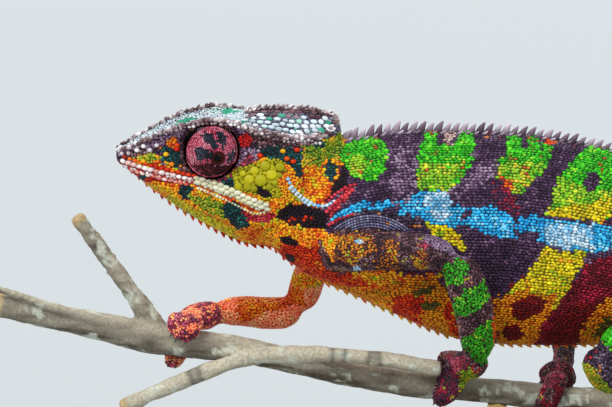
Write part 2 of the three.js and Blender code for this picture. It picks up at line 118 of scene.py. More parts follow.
def brow_at(x):
    """Half breadth and height of the ridges over the eyes at a distance along the head."""
    return [np.interp(x, BROW[:, 0], BROW[:, k]) for k in (1, 2)]


EYE_AT = {"left": leaned(np.array(EYE["centre"]) * (1, -1, 1)), "right": leaned(EYE["centre"])}


def along_line(knots, count):
    """Evenly spaced points on a smooth curve through knots, and their distance along it."""
    knots = np.array(knots, float)
    run = np.r_[0, np.cumsum(np.linalg.norm(np.diff(knots, axis=0), axis=1))]
    at = np.linspace(0, run[-1], count)
    slope = np.gradient(knots, run, axis=0)
    i = np.clip(np.searchsorted(run, at, side="right") - 1, 0, len(run) - 2)
    h = (run[i + 1] - run[i])[:, None]
    t = ((at - run[i]) / h[:, 0])[:, None]
    curve = ((2 * t**3 - 3 * t**2 + 1) * knots[i] + (t**3 - 2 * t**2 + t) * h * slope[i]
             + (-2 * t**3 + 3 * t**2) * knots[i + 1] + (t**3 - t**2) * h * slope[i + 1])
    return curve, at


TURN = np.linspace(0, 1, 25)        # share of the coil, from the tail's level part to its tip
TURN_ANGLE = np.radians(COIL["first"] - COIL["sweep"] * TURN)
TURN_REACH = COIL["outer"] + (COIL["inner"] - COIL["outer"]) * TURN**0.8
TAIL, TAIL_RUN = along_line(
    [(56, 0, 86.9), (66, 0, 85.2), (76, 0, 82.8), (86, 0, 80.4)]
    + [(COIL["centre"][0] + r * math.cos(a), 0, COIL["centre"][1] + r * math.sin(a))
       for a, r in zip(TURN_ANGLE, TURN_REACH)], 500)
print("tail length in mm:", round(float(TAIL_RUN[-1])))

# %% [markdown]
# ## One skin over all the flesh
# The CAD flesh is 21 closed solids with thin gaps. A skin without seams comes from their distance field:
# each solid becomes a level set, the sets are joined with a soft minimum that fills the gaps and webs the
# limbs to the trunk, the field is smoothed, moved inwards by the coat's depth and meshed again.

# %% The distance field
FLESH = [name for name in frame["nodes"]
         if name.split("_")[0] in ("head", "neck", "trunk", "fore", "hind", "tail")]
CELL = 0.7                          # pitch of the distance field
GRID_FROM = np.floor(np.array([-112, -32, 18]) / CELL).astype(int)
GRID_SIZE = np.ceil(np.array([234, 64, 112]) / CELL).astype(int)


def triangles_of(name):
    """A CAD node's corners in millimetres and its triangles."""
    mesh = frame["nodes"][name].data
    mesh.calc_loop_triangles()
    points = np.empty(len(mesh.vertices) * 3, np.float32)
    mesh.vertices.foreach_get("co", points)
    faces = np.empty(len(mesh.loop_triangles) * 3, np.int32)
    mesh.loop_triangles.foreach_get("vertices", faces)
    return points.reshape(-1, 3) / MM, faces.reshape(-1, 3).astype(np.uint32)


def distance_of(name, cell=CELL, grid_from=GRID_FROM, size=GRID_SIZE):
    """Signed distance in millimetres to one CAD node, sampled on the grid."""
    corners, faces = triangles_of(name)
    level = vdb.FloatGrid.createLevelSetFromPolygons(
        corners.astype(np.float32), faces, transform=vdb.createLinearTransform(cell), halfWidth=6)
    field = np.empty(tuple(size), np.float32)
    level.copyToArray(field, tuple(int(v) for v in grid_from))
    return field


def soft_union(a, b, width):
    """The nearer of two distances, rounded where they are within width of each other."""
    near = np.maximum(width - np.abs(a - b), 0) / width
    return np.minimum(a, b) - near * near * width / 4


def smoothed(field, passes):
    """The field averaged with its neighbours along each axis, several times."""
    for _ in range(passes):
        for axis in range(3):
            field = 0.5 * field + 0.25 * (np.roll(field, -1, axis) + np.roll(field, 1, axis))
    return field


GRID_X, GRID_Y, GRID_Z = np.meshgrid(*[(np.arange(n) + o).astype(np.float32) * CELL
                                       for n, o in zip(GRID_SIZE, GRID_FROM)], indexing="ij", sparse=True)


def near_point(centre, reach):
    """1 at a point, falling to 0 beyond a distance, on the grid."""
    x, y, z = centre
    return np.exp(-((GRID_X - x) ** 2 + (GRID_Y - y) ** 2 + (GRID_Z - z) ** 2) / reach**2)


CLOSING = 0.2                       # each solid swells this much, so that the gaps between them close
owner = np.zeros(tuple(GRID_SIZE), np.int8)
field = None
for number, name in enumerate(FLESH):
    one = distance_of(name) - CLOSING
    if field is None:
        field = one
        continue
    width = 1.6
    leg = next((key for key in LEGS if name.startswith(key)), None)
    if leg:
        width = 0.9 + 3.6 * near_point(LEGS[leg]["root"], 9) + 1.6 * near_point(LEGS[leg]["bend"], 6)
        width = width + 1.6 * near_point(LEGS[leg]["wrist"], 5)
    owner[one < field] = number
    field = soft_union(field, one, width)

# the brow ridges, thin in the CAD head over the eye sockets, get their full thickness
BROW_SIZE = numbers("-108.3,0.8 -100,0.95 -92,1.25 -84,1.4 -76,1.2 -62,0.9 -52,0.7")
CREST_SIZE = numbers("-76,0.5 -72,0.85 -60,0.9 -52,0.8")
CREST = np.array(numbers("-76,0,124.4 -74.5,0,125.1 -68.7,0,125.7 -62.5,0,125.6 -56.3,0,125.2 -52.8,0,124.4"))
front = int((HEAD_BACK - GRID_FROM[0] * CELL) / CELL)
for ridge, sizes, width in ((BROW * (1, -1, 1) - (0, 0, 0.4), BROW_SIZE, 1.2),
                            (BROW - (0, 0, 0.4), BROW_SIZE, 1.2),
                            (CREST - (0, 0, 0.5), CREST_SIZE, 0.6)):
    ridge = leaned(ridge)
    best = np.full(field[:front].shape, 9.0, np.float32)
    for a, b in zip(ridge[:-1], ridge[1:]):
        span = b - a
        x, y, z = GRID_X[:front] - a[0], GRID_Y - a[1], GRID_Z - a[2]
        t = np.clip((x * span[0] + y * span[1] + z * span[2]) / (span @ span), 0, 1)
        off = np.sqrt((x - t * span[0]) ** 2 + (y - t * span[1]) ** 2 + (z - t * span[2]) ** 2)
        size = np.interp(a[0] + t * span[0], *zip(*sizes))
        best = np.minimum(best, off - size)
    field[:front] = soft_union(field[:front], best.astype(np.float32), width)

# the skull roof closes over the eye sockets from ridge to ridge
ROOF_MIDDLE = numbers("-96,118.7 -92,120.2 -84,122 -78,123.5 -74.5,124.4")
x, y, z = np.broadcast_arrays(GRID_X[:front], GRID_Y, GRID_Z)
level = leaned(np.stack([x, y, z], -1), -HEAD_LEAN)
x, y, z = level[..., 0], np.abs(level[..., 1]), level[..., 2]
edge, edge_z = brow_at(x)
middle = np.interp(x, *zip(*ROOF_MIDDLE))
top = middle + (edge_z - 0.2 - middle) * np.clip(y / edge, 0, 1) ** 1.1
thick = 2.5 - 1.3 * np.clip((y - edge) / 2.5 + 1, 0, 1)
slab = np.maximum.reduce([z - top, top - thick - z, y - edge, x - ROOF_TO, ROOF_FROM - x])
field[:front] = soft_union(field[:front], slab.astype(np.float32), 0.8)
print("flesh nodes:", len(FLESH), "grid:", field.shape)

# %% [markdown]
# ## Smoothing and folds
# A real skin is taut over the skull and loose at the throat and shoulder. The head keeps its edges with one
# pass of smoothing, the rest gets several, and shallow waves in the field make the skin folds above the
# foreleg.

# %% Smooth, fold and mesh the skin
head_share = np.clip((-56 - GRID_X) / 6, 0, 1) * np.clip((GRID_Z - 86) / 6, 0, 1)
grip_share = sum(near_point(np.array(joint["palm"]) - (0, 0, 5), 9.5) for joint in LEGS.values()).clip(0, 1)
grip_share = np.clip(grip_share * 2.4, 0, 1) * (1 - head_share)
body_share = 1 - head_share - grip_share
field = head_share * smoothed(field, 1) + grip_share * smoothed(field, 1) + body_share * smoothed(field, 5)
across_fold = np.hypot(GRID_X - FOLD_X, (GRID_Z - FOLD_Z) * 1.1)
for side in (-1, 1):
    fold = (GRID_X + 44) ** 2 / 13**2 + (GRID_Z - 99.5) ** 2 / 4.2**2 + (GRID_Y - side * 15) ** 2 / 8**2
    field = field + 0.3 * np.cos(across_fold * 2 * math.pi / 2.0) * np.exp(-fold)
field = field + CLOSING + COAT - 0.3 * grip_share


def mesh_field(values, cell, grid_from):
    """Quads on the zero surface of a field."""
    grid = vdb.FloatGrid(3.0)
    grid.copyFromArray(np.clip(values, -3, 3).astype(np.float32))
    shift = [float(v) * cell for v in grid_from]
    grid.transform = vdb.createLinearTransform(
        [[cell, 0, 0, 0], [0, cell, 0, 0], [0, 0, cell, 0], [*shift, 1]])
    points, quads = grid.convertToQuads(0.0)
    return points.astype(float), quads.astype(int)


def main_shell(points, quads):
    """Only the largest connected shell, turned to face outwards."""
    label = np.arange(len(points))
    for _ in range(300):
        fresh = label.copy()
        np.minimum.at(fresh, quads.ravel(), np.repeat(label[quads].min(1), 4))
        fresh = fresh[fresh]
        if (fresh == label).all():
            break
        label = fresh
    keep = label == np.bincount(label).argmax()
    quads = (np.cumsum(keep) - 1)[quads[keep[quads[:, 0]]]]
    points = points[keep]
    a, b, c, d = (points[quads[:, k]] for k in range(4))
    volume = (np.cross(b - a, c - a) * a).sum() + (np.cross(c - a, d - a) * a).sum()
    return points, (quads if volume > 0 else quads[:, ::-1])


skin_points, skin_quads = main_shell(*mesh_field(field, CELL, GRID_FROM))
print("skin corners:", len(skin_points), "quads:", len(skin_quads))


def corner_normals(points, quads):
    """Unit normals at the corners, the mean of the quads round each."""
    across = np.cross(points[quads[:, 2]] - points[quads[:, 0]], points[quads[:, 3]] - points[quads[:, 1]])
    normals = np.zeros_like(points)
    for k in range(4):
        np.add.at(normals, quads[:, k], across)
    return normals / np.maximum(np.linalg.norm(normals, axis=1, keepdims=True), 1e-9)


def part_at(points):
    """The number in FLESH of the solid nearest to each point."""
    cell = np.clip(np.rint(points / CELL).astype(int) - GRID_FROM, 0, GRID_SIZE - 1)
    return owner[cell[:, 0], cell[:, 1], cell[:, 2]]


# %% [markdown]
# ## The side plate
# Markings are laid out as on a taxidermist's side plate: a drawing in millimetres of the left flank seen a
# little from above, with its origin between the foreleg and the jaw. Both flanks share it, so the right
# side is the mirror image.

# %% Plate coordinates and shapes on them
PLATE_AT = (-61, 0, 100.9)
PLATE_TILT = math.radians(9)
PLATE_FAR = 600                     # distance of the drawing's eye point


def plate(points, head):
    """Plate coordinates of points; head points are turned back from their lean before they are mirrored."""
    p = np.array(points, float)
    level = leaned(p, -HEAD_LEAN)
    level[:, 1] = -np.abs(level[:, 1])
    share = head[:, None]
    p[:, 1] = -np.abs(p[:, 1])
    p = p * (1 - share) + leaned(level) * share
    d = p - PLATE_AT
    depth = PLATE_FAR + d[:, 1] * math.cos(PLATE_TILT) - d[:, 2] * math.sin(PLATE_TILT)
    up = d[:, 1] * math.sin(PLATE_TILT) + d[:, 2] * math.cos(PLATE_TILT)
    return np.stack([d[:, 0], up], 1) * (PLATE_FAR / depth)[:, None]


def edge_distance(at, line):
    """Distance from plate points to an open line."""
    best = np.full(len(at), 1e9)
    for start, end in zip(line[:-1], line[1:]):
        a, b = np.array(start), np.array(end)
        t = np.clip(((at - a) @ (b - a)) / max((b - a) @ (b - a), 1e-9), 0, 1)
        best = np.minimum(best, np.linalg.norm(at - a - t[:, None] * (b - a), axis=1))
    return best


def area(at, *outline):
    """Signed distance to a closed outline, negative inside."""
    inside = np.zeros(len(at), bool)
    for (ax, ay), (bx, by) in zip(outline, outline[1:] + outline[:1]):
        crosses = (ay > at[:, 1]) != (by > at[:, 1])
        inside ^= crosses & (at[:, 0] < (bx - ax) * (at[:, 1] - ay) / ((by - ay) or 1e-9) + ax)
    return np.where(inside, -1, 1) * edge_distance(at, outline + outline[:1])


def spot(at, centre, radii, turn=0):
    """Signed distance to an ellipse, turned in degrees."""
    c, s = math.cos(math.radians(turn)), math.sin(math.radians(turn))
    d = at - centre
    u, v = d[:, 0] * c + d[:, 1] * s, -d[:, 0] * s + d[:, 1] * c
    return (np.hypot(u / radii[0], v / radii[1]) - 1) * min(radii)


def wobble(points, size, seed):
    """Smooth noise from -1 to 1 with features of a size in millimetres."""
    table = np.random.default_rng(seed).uniform(-1, 1, (32, 32, 32))
    at = points / size
    base = np.floor(at).astype(int)
    t = at - base
    t = t * t * (3 - 2 * t)
    total = 0
    for corner in range(8):
        bit = np.array([corner & 1, corner >> 1 & 1, corner >> 2 & 1])
        weight = np.prod(np.where(bit, t, 1 - t), axis=1)
        i = (base + bit) % 32
        total = total + weight * table[i[:, 0], i[:, 1], i[:, 2]]
    return total


print("plate middle in mm:", PLATE_AT, "tilt in degrees:", round(math.degrees(PLATE_TILT)))

# %% [markdown]
# ## Colours
# A panther chameleon's granules are each one colour, so a marking is a mix of single-coloured scales on a
# darker ground of bare skin. Each pigment is named, with its ground first and then the scale colours and
# their shares.

# %% Pigments
def linear(code):
    """A hex sRGB colour as linear values."""
    value = np.array([int(code[i:i + 2], 16) / 255 for i in (1, 3, 5)])
    return np.where(value <= 0.04045, value / 12.92, ((value + 0.055) / 1.055) ** 2.4)


MIXES = """
purple #1b0d18 3 #2f1c30 5 #432a48 4 #563a58 2 #7c5e78
dusk #170d18 0.3 #a82a30 3 #241a28 4 #3c2c40 4 #57445a 2 #8a7480 0.3 #c8702a
ridge #281a1e 2.6 #503638 3 #785c5e 3 #a89496 2.4 #ece4e2
frost #303436 1 #a08a98 3 #a2b6bc 4 #c4d0d6 4 #e4ecee 1 #9ed0bc
umber #1c0f12 2 #301e22 4 #4a2c32 3 #6c4850 1.4 #94747a 0.4 #c86c26 0.3 #a09834
crimson #30040e 2 #4c0714 5 #6a0a1c 3 #851226 1 #b01c38
maroon #2e0304 2 #4a0608 5 #660a0c 3 #7e100e
green #12460a 0.3 #b0481c 3 #1f8a0c 6 #2fae14 4 #4cc81e 1 #96d42c
leaf #3a4c08 2 #48a41c 4 #70b41e 4 #98c428 2 #cccc30 0.8 #e0a030 0.3 #b84420
moss #2a3a10 3 #557f1c 4 #7f9a22 3 #b0a824 1 #d8a428
yellow #524806 2 #90b41c 3 #baa008 6 #d8c20a 4 #e6d21c 0.4 #d88a18
ochre #5e2402 2 #a88608 2 #c05804 5 #dc7c04 4 #ea9606
olive #2e2a08 4 #5a5414 3 #40380e 2 #7a6a18
blue #0c3450 3 #187eb8 5 #1fa6de 4 #48c0ea 1 #8ed2ee
sky #4a6c84 1 #3c9cd0 4 #6cb0d4 4 #a8cade 4 #d2e2e8
ember #a02a08 1 #d03410 3 #e25a10 5 #ee8c10 5 #f0b414 2 #a0b41c
orange #8a2206 3 #d0420c 5 #e86a0e 4 #f08c16 1 #e8b020
flame #560804 3 #a41604 5 #cc2806 4 #de4408 1 #e87a10
red #5a0412 3 #9c1828 5 #c42c3c 3 #dc4c50
salmon #d04a28 2 #ff6a44 5 #ff8a60 4 #ffa070 2 #ffc080
rose #4a1420 3 #5c2c3a 3 #8a2c42 4 #c0445a 2 #d0748a
teal #081416 4 #0e2428 4 #14383c 3 #1c5450 1 #2a7a6a
jade #0c4a3a 4 #1f9a78 3 #34b48a 2 #14705a
black #080408 4 #140a12 3 #1f1019 1 #2c1420
cream #8a8468 2 #b8b48a 5 #d2cda6 4 #e2dfc2
lip #a03030 1.4 #d88a7c 3 #e2c4bc 4 #f0e6e2 1 #ffffff
lip_low #7a2420 3 #c4564a 3 #d8938a 3 #e8d4cc
cheek #4a4804 2 #8c8606 5 #a89e0a 3 #bcb012
crest #241820 2 #5c4654 4 #84707c 3 #b4a2ae
slate #24202c 3 #4a4858 4 #6c6a80 2 #9496a8 0.6 #5a9484
fold #1c1628 4 #5a5474 4 #787492 2 #9a98b6 0.25 #c8702a
blush #4a3038 3 #c8a8a0 3 #b08a80 2 #d8c4b4 2 #a86a50
garnet #24081a 3 #452c4a 3 #5a2038 4 #8a1c34 2 #b42c40
tawny #1c0f12 4 #42262a 3 #74402a 3 #c86c1a 3 #dc9c1e 0.8 #98a02c
sward #2a200c 0.4 #8a3a1c 2 #1c6410 5 #2c9416 4 #46b424 1 #a0c830
night #160a14 3 #281628 5 #38223c 4 #4a304c 2 #64465e
scarlet #50060a 3 #a80c12 5 #d01818 3 #e23c24
rime #382a34 1 #a8929e 3 #d8ccd4 4 #f6f2f4
mauve #2a1828 3 #614562 4 #8a6c88 3 #a68ca2
eye_red #3a0c18 2 #c03250 4 #ea5c7a 3 #fa8aa0 1 #ffbcc6
eye_dark #1c080e 4 #2c0e16 3 #4a141e 2 #6c1c2a 1 #8c3444
eye_slate #100c14 5 #1e1e2a 3 #363a48 2 #6a6674
"""
PIGMENTS = {}                       # name: ground, running shares, colours
for name, ground, *mix in map(str.split, MIXES.split("\n")[1:-1]):
    parts = [float(part) for part in mix[::2]]
    colours = np.array([linear(code) for code in mix[1::2]])
    PIGMENTS[name] = (linear(ground), np.cumsum(parts) / sum(parts), colours)
print("pigments:", len(PIGMENTS))

# %% [markdown]
# ## Markings
# The markings are named shapes on the side plate, laid in order from the broad ground colours to single
# spots. Each entry gives the pigment, how ragged its edge is in millimetres, and the shape.

# %% Markings of the body
def marks_from(table):
    """Marks from lines of pigment, kind, raggedness in mm and numbers: an area's corners, or a spot's middle,
    radii and turn in degrees. A line that starts with a number carries on the one before."""
    marks = []
    for line in table.split("\n"):
        words = line.split()
        if not words or words[0] == "#":
            continue
        if words[0][0].isalpha():
            marks.append([*words[:2], float(words[2])])
            words = words[3:]
        marks[-1] += numbers(" ".join(words))
    return marks


# the dark arc over the top of the turret is painted shade in the crease between brow and eye
# the slate fill between the casque's plates is darkened as painted shade between them, and the umber band
# along the casque's top is painted shade under the crest
BODY_MARKS = marks_from("""
# the lower flank reddens, the back greys towards the crest
crimson area 5 -1.5,-17.9 123.5,-17.9 123.5,-54.1 -1.5,-54.1
dusk area 1.5 6,23.4 9.8,16.4 28.5,17.4 41,16.9 56,15.4 73.5,12.9 128.5,-1.6 128.5,25.9 6,25.9
dusk area 1.5 5.5,-4.6 9.8,-2.1 18.5,-0.6 30,-3.1 30,-8.1 18.5,-7.6 8.5,-8.1
# throat, cheek, neck and the front of the belly
ember area 1.2 -49.5,10.4 -41.5,10.9 -31.5,13.4 -16.5,13.4 -1.5,13.9 9.8,17.4 10,15.4 11,12.9 9.8,9.6 8,5.9
  4.8,-0.4 3,-2.6 4.5,-7.1 7,-9.1 11.5,-14.6 23.5,-17.1 33.5,-20.4 37.2,-24.1 39,-35.4 31,-34.1 4.5,-23.1
  -4,-18.1 -17.5,-12.1 -34,-2.1 -47,6.9
ember area 1.2 4.5,-7.6 16.5,-7.9 16.5,-13.6 22.5,-18.1 33.5,-17.6 34.5,-21.6 38.5,-33.6 21.5,-29.6 1.5,-21.6
  1.5,-8.6
flame area 1 -6.1,-10 -0.2,-11.2 5.2,-10.4 12.2,-10 12.2,-19.1 -8.6,-19.1 -8.6,-12.9
flame area 1 1.5,-15.6 7.5,-17.6 14.5,-19.1 17.5,-21.6 29.5,-22.6 36.5,-24.6 38.5,-33.1 25.5,-29.6 20.5,-24.6
  11.5,-22.6 1.5,-18.6
ochre area 1.2 4.5,-19.6 16.5,-21.6 22.5,-19.6 33.5,-18.1 35.5,-23.6 34.5,-29.6 29.5,-32.1 27.5,-26.6
  20.5,-24.6 13.5,-24.6 7.5,-23.1
flame area 0.7 21.5,-23.1 29.5,-23.1 30.5,-27.1 25.5,-28.6 21.5,-27.6
ochre area 0.7 28,-27.6 34,-26.6 36,-30.6 36.5,-33.1 29.5,-32.1
olive spot 0.6 29.5,-21.9 2.8,0.9 10
olive spot 0.6 31.5,-25.4 2.6,1.1 5
# the four visible green bars and those further back
green area 0.9 8,13.9 11.5,16 17.5,16.4 20,15.4 20.8,10.9 19.6,7.8 16.5,5.8 13.5,6.1 11,7.9 9,10.4
green area 0.9 29.8,17.9 31.5,19.1 33.5,15.9 36,14.6 38.5,17.4 41,19.4 42.2,15.9 41.5,10.9 40,6.9 36.8,3.8
  35.5,2.4 27.8,3.4 27.4,6.9 27.8,10.9 28.8,13.4
green area 0.9 50.8,16.9 54,16.9 57,16.9 61.5,15.1 61.2,11.9 59.5,8.9 57,5.9 56,4.4 52.5,1.9 50.8,1.9 49.2,5.1
  47.5,6.9 48,10.9 49.6,11.6 50.2,14.4
green area 0.9 70.5,14.4 73.5,15.1 75.5,13.4 83.5,13.9 84,8.4 81.5,2.4 77.5,-1.6 73.5,-4.6 60.5,-3.1 61.5,0.9
  62.5,5.4 64,8.4 68,11.4
green area 0.9 90.5,13.4 101,13.4 103,5.9 98.5,-1.6 91.5,-6.1 85.5,-4.6 87.2,3.4 89,8.4
green area 0.9 109,9.6 116,8.9 117.5,1.9 112.5,-6.6 105,-8.1 105.5,0.9
leaf area 1.6 11,11.4 14.5,11.9 16.5,8.9 14.5,6.4 11.5,8.4
leaf area 1.6 27.5,9.9 39.5,9.9 39,6.4 36.5,3.8 35.5,2.4 27.8,3.4
leaf area 1.6 47.5,10.9 59,9.9 57,5.9 52.5,1.9 50.8,1.9 47.5,6.9
leaf area 1.6 63,6.9 69.5,4.4 76.5,3.4 79.5,1.4 73.5,-4.6 60.5,-3.1
yellow area 0.9 60.5,-1.6 66.5,-0.6 76.5,1.4 77,-1.6 73.5,-4.6 60.5,-3.4
purple spot 0.4 71.5,5.4 1.9,2.6 -15
blush spot 0.8 36,17.5 1.7,2.6
flame spot 0.9 31.5,18.4 1.2,1
flame spot 0.9 40,18.4 1.9,0.9
flame spot 0.9 60.5,15.4 1.3,1
purple spot 0.5 33.5,16.9 0.7,2 4
purple spot 0.5 54.5,15.4 0.6,1.8 4
purple spot 0.5 58.5,14.9 0.6,1.5 4
orange area 0.8 48.8,6.4 50.8,6.4 52,1.4 50.8,1.4
# blue lateral stripe
blue area 0.9 7,-3.6 9,-1.1 14,0.8 19,0.9 23.5,0.9 28,2.9 31.5,3.5 35.5,2.4 36.5,-0.6 39.5,-1.1 46.5,-1.1
  51.5,-2.1 57,-3.1 66.5,-4.4 76.5,-6.1 96.5,-8.6 96.5,-13.6 76.5,-11.9 65,-12.1 60,-10.6 57.5,-8.6 52,-8.6
  49,-9.1 44,-7.6 40,-4.6 36.5,-5.9 31.5,-4.6 27,-3.1 23.5,-2.6 20.5,-2.1 16.5,-0.8 12.5,-1.9 9.5,-3.2
purple area 1 51.5,-2.6 57,-3.1 59,-5.1 59,-8.6 53.5,-8.9 52,-6.1
sky area 1.6 29.5,3.4 35.5,2.4 36.5,-1.6 36,-4.6 31.5,-3.9 29.5,-0.1
sky area 1.6 59,-4.6 66.5,-5.1 71.5,-5.4 72,-11.1 65,-11.9 60,-10.6
blue spot 1.2 56,-5.1 3.4,2
mauve spot 2.4 42.5,5.9 5.2,2.2 35
mauve spot 2.6 24.5,6.9 3,6 0
garnet area 2.2 46.5,5.9 49.8,4.9 52.2,1.9 53.2,-0.6 51.5,-3.1 49,-1.6 47.2,1.4
night area 2 36.5,-6.6 44.5,-8.6 51.5,-9.9 59,-11.1 57.5,-14.6 51.5,-20.1 48.5,-24.6 44.5,-21.6 41.5,-13.6
purple spot 0.6 40,-3.1 1.6,0.8 20
purple spot 0.6 21.5,-1.9 1.8,0.7 10
purple spot 0.5 16.5,-0.1 1,0.6 10
# below the stripe
yellow area 0.9 59.8,-10.9 65,-12.2 69.8,-11.6 70.1,-13.6 67.8,-17.6 65.5,-22.1 62.8,-26.1 60,-29.1 57.8,-32.6
  56.8,-35.9 47.8,-35.6 47.2,-26.6 51,-21.6 56,-16.6 58.5,-13.6
ochre area 1.2 48,-23.6 53.5,-21.6 63.5,-23.1 60,-29.1 56.5,-36.6 47.8,-36.6 46.5,-26.6
maroon spot 0.5 55.5,-25.9 4.6,2.6 25
maroon spot 0.5 51.8,-32.4 3.1,1.7 -5
crimson area 1 70.2,-14.6 76.5,-12.6 82.5,-11.6 79.5,-19.6 75.5,-24.6 71.5,-27.6 68.8,-31.6 67.5,-37.1
  56.8,-36.6 60,-29.1 65.5,-22.1
maroon area 1 66,-25.1 72.5,-24.6 71.5,-27.6 68.8,-31.6 67.5,-37.1 57.8,-36.6 62,-29.6
ochre area 0.9 76.5,-23.1 82.5,-19.6 88.5,-19.6 86.5,-26.6 83.5,-32.6 81.5,-38.6 67.5,-37.6 68.8,-31.6
  71.5,-27.6
olive spot 1.6 75,-31.1 3,2 40
yellow area 0.8 30.2,-5.1 36.5,-6.2 39.5,-9.1 41,-11.6 38.5,-11.9 34,-8.9 30.9,-7.6
ochre area 0.9 96,-9.1 101.5,-9.1 98.5,-17.9 92.5,-24.1 88.5,-21.6
ochre area 0.9 111.5,-10.6 116.5,-11.6 113.5,-20.4 108,-22.1
# head: brow and snout, casque, cheek, jaw and throat
mauve area 0.6 -47.3,13.4 -44.4,16.3 -37.8,18.4 -30.2,21.3 -24.4,22.1 -17.3,21.7 -13.6,18.8 -12.8,17.1
  -16.9,16.7 -23.6,20 -28.6,18.8 -32.3,15.9 -36.5,14.6 -41.9,12.5 -45.7,11.1
umber area 0.5 -45.9,12.5 -41.9,13.6 -36.5,14.4 -35.7,13.8 -40.2,12.1 -42.8,10.5 -45.7,10.7
umber area 0.6 -14.4,18.8 -8.6,16.7 -0.2,15.5 3.5,16.2 3.9,14.6 -0.2,13.8 -0.7,10.5 -4.4,12.5 -8.6,13.4
  -13.6,13 -15.2,16.7
teal area 0.7 -36.1,13.4 -33.6,14.6 -31.5,13.4 -31,10.5 -31.9,8.6 -34.4,10 -36.5,10.5
teal area 0.8 -13.2,13.8 -8.6,14 -4,14.4 -1.1,13.4 -0.5,6.3 -2.3,6.7 -4,9.2 -8.6,11.1 -11.5,11.7
orange spot 0.6 -33.4,15.2 1.7,1.3
moss area 0.6 -43.6,11.1 -40.7,12.3 -37.8,12.8 -36.9,10.9 -39.4,10.2 -42.3,10.5
umber area 0.5 -36.5,10.7 -33.6,9.8 -30.7,9.2 -28.6,7.1 -31.1,7.8 -33.6,8.8 -36.3,9.8
flame area 0.5 -39,9.8 -36.1,9.6 -31.5,8.4 -26.9,6.7 -24.4,5.5 -26.9,5 -31.9,6.7 -37.8,8.4
mauve area 0.7 -16.9,14.6 -13.6,14.2 -11.1,13 -11.5,11.3 -13.6,9.6 -14.8,7.5 -17.3,6.3 -18.2,7.1 -16.9,10.5
umber area 0.4 -31.5,15.9 -29.4,19.2 -30.2,16.3 -30.7,13 -30.1,9.6 -28.6,7.1 -30.7,8.4 -31.7,10.5 -31.4,13.4
teal area 0.5 -35.7,12.8 -33.6,13.8 -31.5,12.8 -31,10.5 -31.9,8.6 -34.4,9.6
night area 0.5 -30.7,19.2 -26.9,20.5 -21.1,20.5 -16.9,18.8 -15.7,16.3 -16.9,14.6 -17.3,17.1 -21.1,19.4
  -26.9,19.4 -29.8,17.1
scarlet spot 0.4 -15.2,15.7 1.6,1.8
rose area 0.6 -29.4,8.8 -26.9,6.7 -23.6,5.7 -19.4,6.7 -16.1,10.5 -13.6,13 -12.8,10.5 -16.1,7.5 -18.6,5
  -23.6,4.6 -27.8,5.5 -30.7,7.5
teal area 0.6 -21.5,5.9 -18.6,6.3 -17.3,4.6 -17.8,2.5 -20.2,3.8
slate area 0.4 -16.9,22.5 -14.8,23.6 -8.6,24.6 1.8,24 8.1,22.8 9.1,18.8 7.2,17.3 3.1,16.3 -0.7,15.2 -6.5,16.1
  -12.8,17.8 -14.4,19.2
umber area 0.3 -16.9,21.9 -14.8,23.6 -8.6,25 1.8,24.6 8.1,23 7.2,21.9 1.8,22.5 -8.6,23.2 -13.6,22.5 -15.7,20.9
moss area 0.9 -0.7,14.8 3.9,16.2 8.9,17.5 9.4,14.6 8.1,10.5 5.2,10.9 3.1,9.4 -0.7,8.8
teal spot 0.6 6.2,8.4 1.7,2.6
teal spot 0.6 3.5,15 1.9,1.2
cheek area 0.7 -17.8,8.4 -14.8,9.4 -11.5,11.1 -8.2,11.3 -5.2,10.2 -5,8.4 -6.7,5.5 -6.1,2.5 -8.6,0.5 -12.8,2.1
  -16.9,3.8 -18.6,6.7
black area 0.4 -12.8,4.4 -10.7,3.8 -8.2,2.1 -8.4,1.1 -10.7,1.5 -12.1,2.5
black area 0.5 9.8,10.9 10.8,3.8 8.1,2.1 4.3,-0.2 6,2.5 7.7,6.3
black area 0.5 -8.2,-3.3 -4.4,0 -0.2,-0.6 5.2,-2 5.4,-6.2 -0.2,-6.2 -5.2,-4.8
flame area 0.4 -4.4,-3.5 1.8,-3.5 2,-4.3 -4.4,-4.3
black spot 0.4 -4.8,-9.2 2.5,0.9 -22
black spot 0.5 -4,-13.5 1.4,0.7 -22
red area 0.6 5.2,-2 9.8,3.8 12.2,5.5 12.2,3 9.8,0.5 5.8,-4.5
umber area 0.8 3.5,-11.6 8.1,-12 12.2,-15 12.2,-17.9 8.1,-16.2 3.9,-13.7
flame area 0.6 -46.3,10.7 -39.4,8.4 -32.8,6.3 -31.9,5 -37.8,5.5 -41.9,5 -45.2,7.1
teal spot 0.6 -30.2,3.2 1.5,2.1
teal spot 0.5 -40.9,6.8 1,0.7
moss area 0.8 -29,2.5 -23.6,1.3 -20.7,0 -20.7,-3.7 -25.2,-1.6 -29,0.5
teal area 0.7 -20.6,0 -17.8,0.9 -14.8,-2 -14.3,-5.6 -16.9,-6.4 -20.2,-3.3
red area 0.6 -17.3,-0.8 -14.8,-2 -12.8,-3.5 -8.6,-2 -6.9,-2.9 -10.2,-5 -14.4,-4.1
yellow area 0.7 -34.4,2.1 -28.6,-0.4 -21.1,-5 -16.9,-8.3 -17.8,-10 -23.6,-6.6 -30.2,-2.9 -35.2,0.5
umber area 0.4 -41.9,5.5 -36.5,2.1 -30.7,-1.6 -25.2,-5.4 -18.6,-8.7 -19.4,-9.8 -26.1,-6.4 -32.3,-2.7 -37.8,0.9
  -41.9,4.4
cream area 0.2 -28,6.3 -23.6,5.5 -18.6,3.8 -14.4,1.7 -9.2,-0.6 -9.2,-1.6 -11.9,-1.6 -14.4,-0.6 -17.8,1.1
  -21.5,2.5 -25.2,4 -27.8,5
lip area 0.3 -46.1,10.7 -41.9,9.6 -36.9,8.5 -31.9,6.9 -27.8,6.1 -27.8,4.8 -31.9,5.2 -37.3,6.6 -42.3,8.2
  -46.1,9.4
""")
print("body markings:", len(BODY_MARKS))
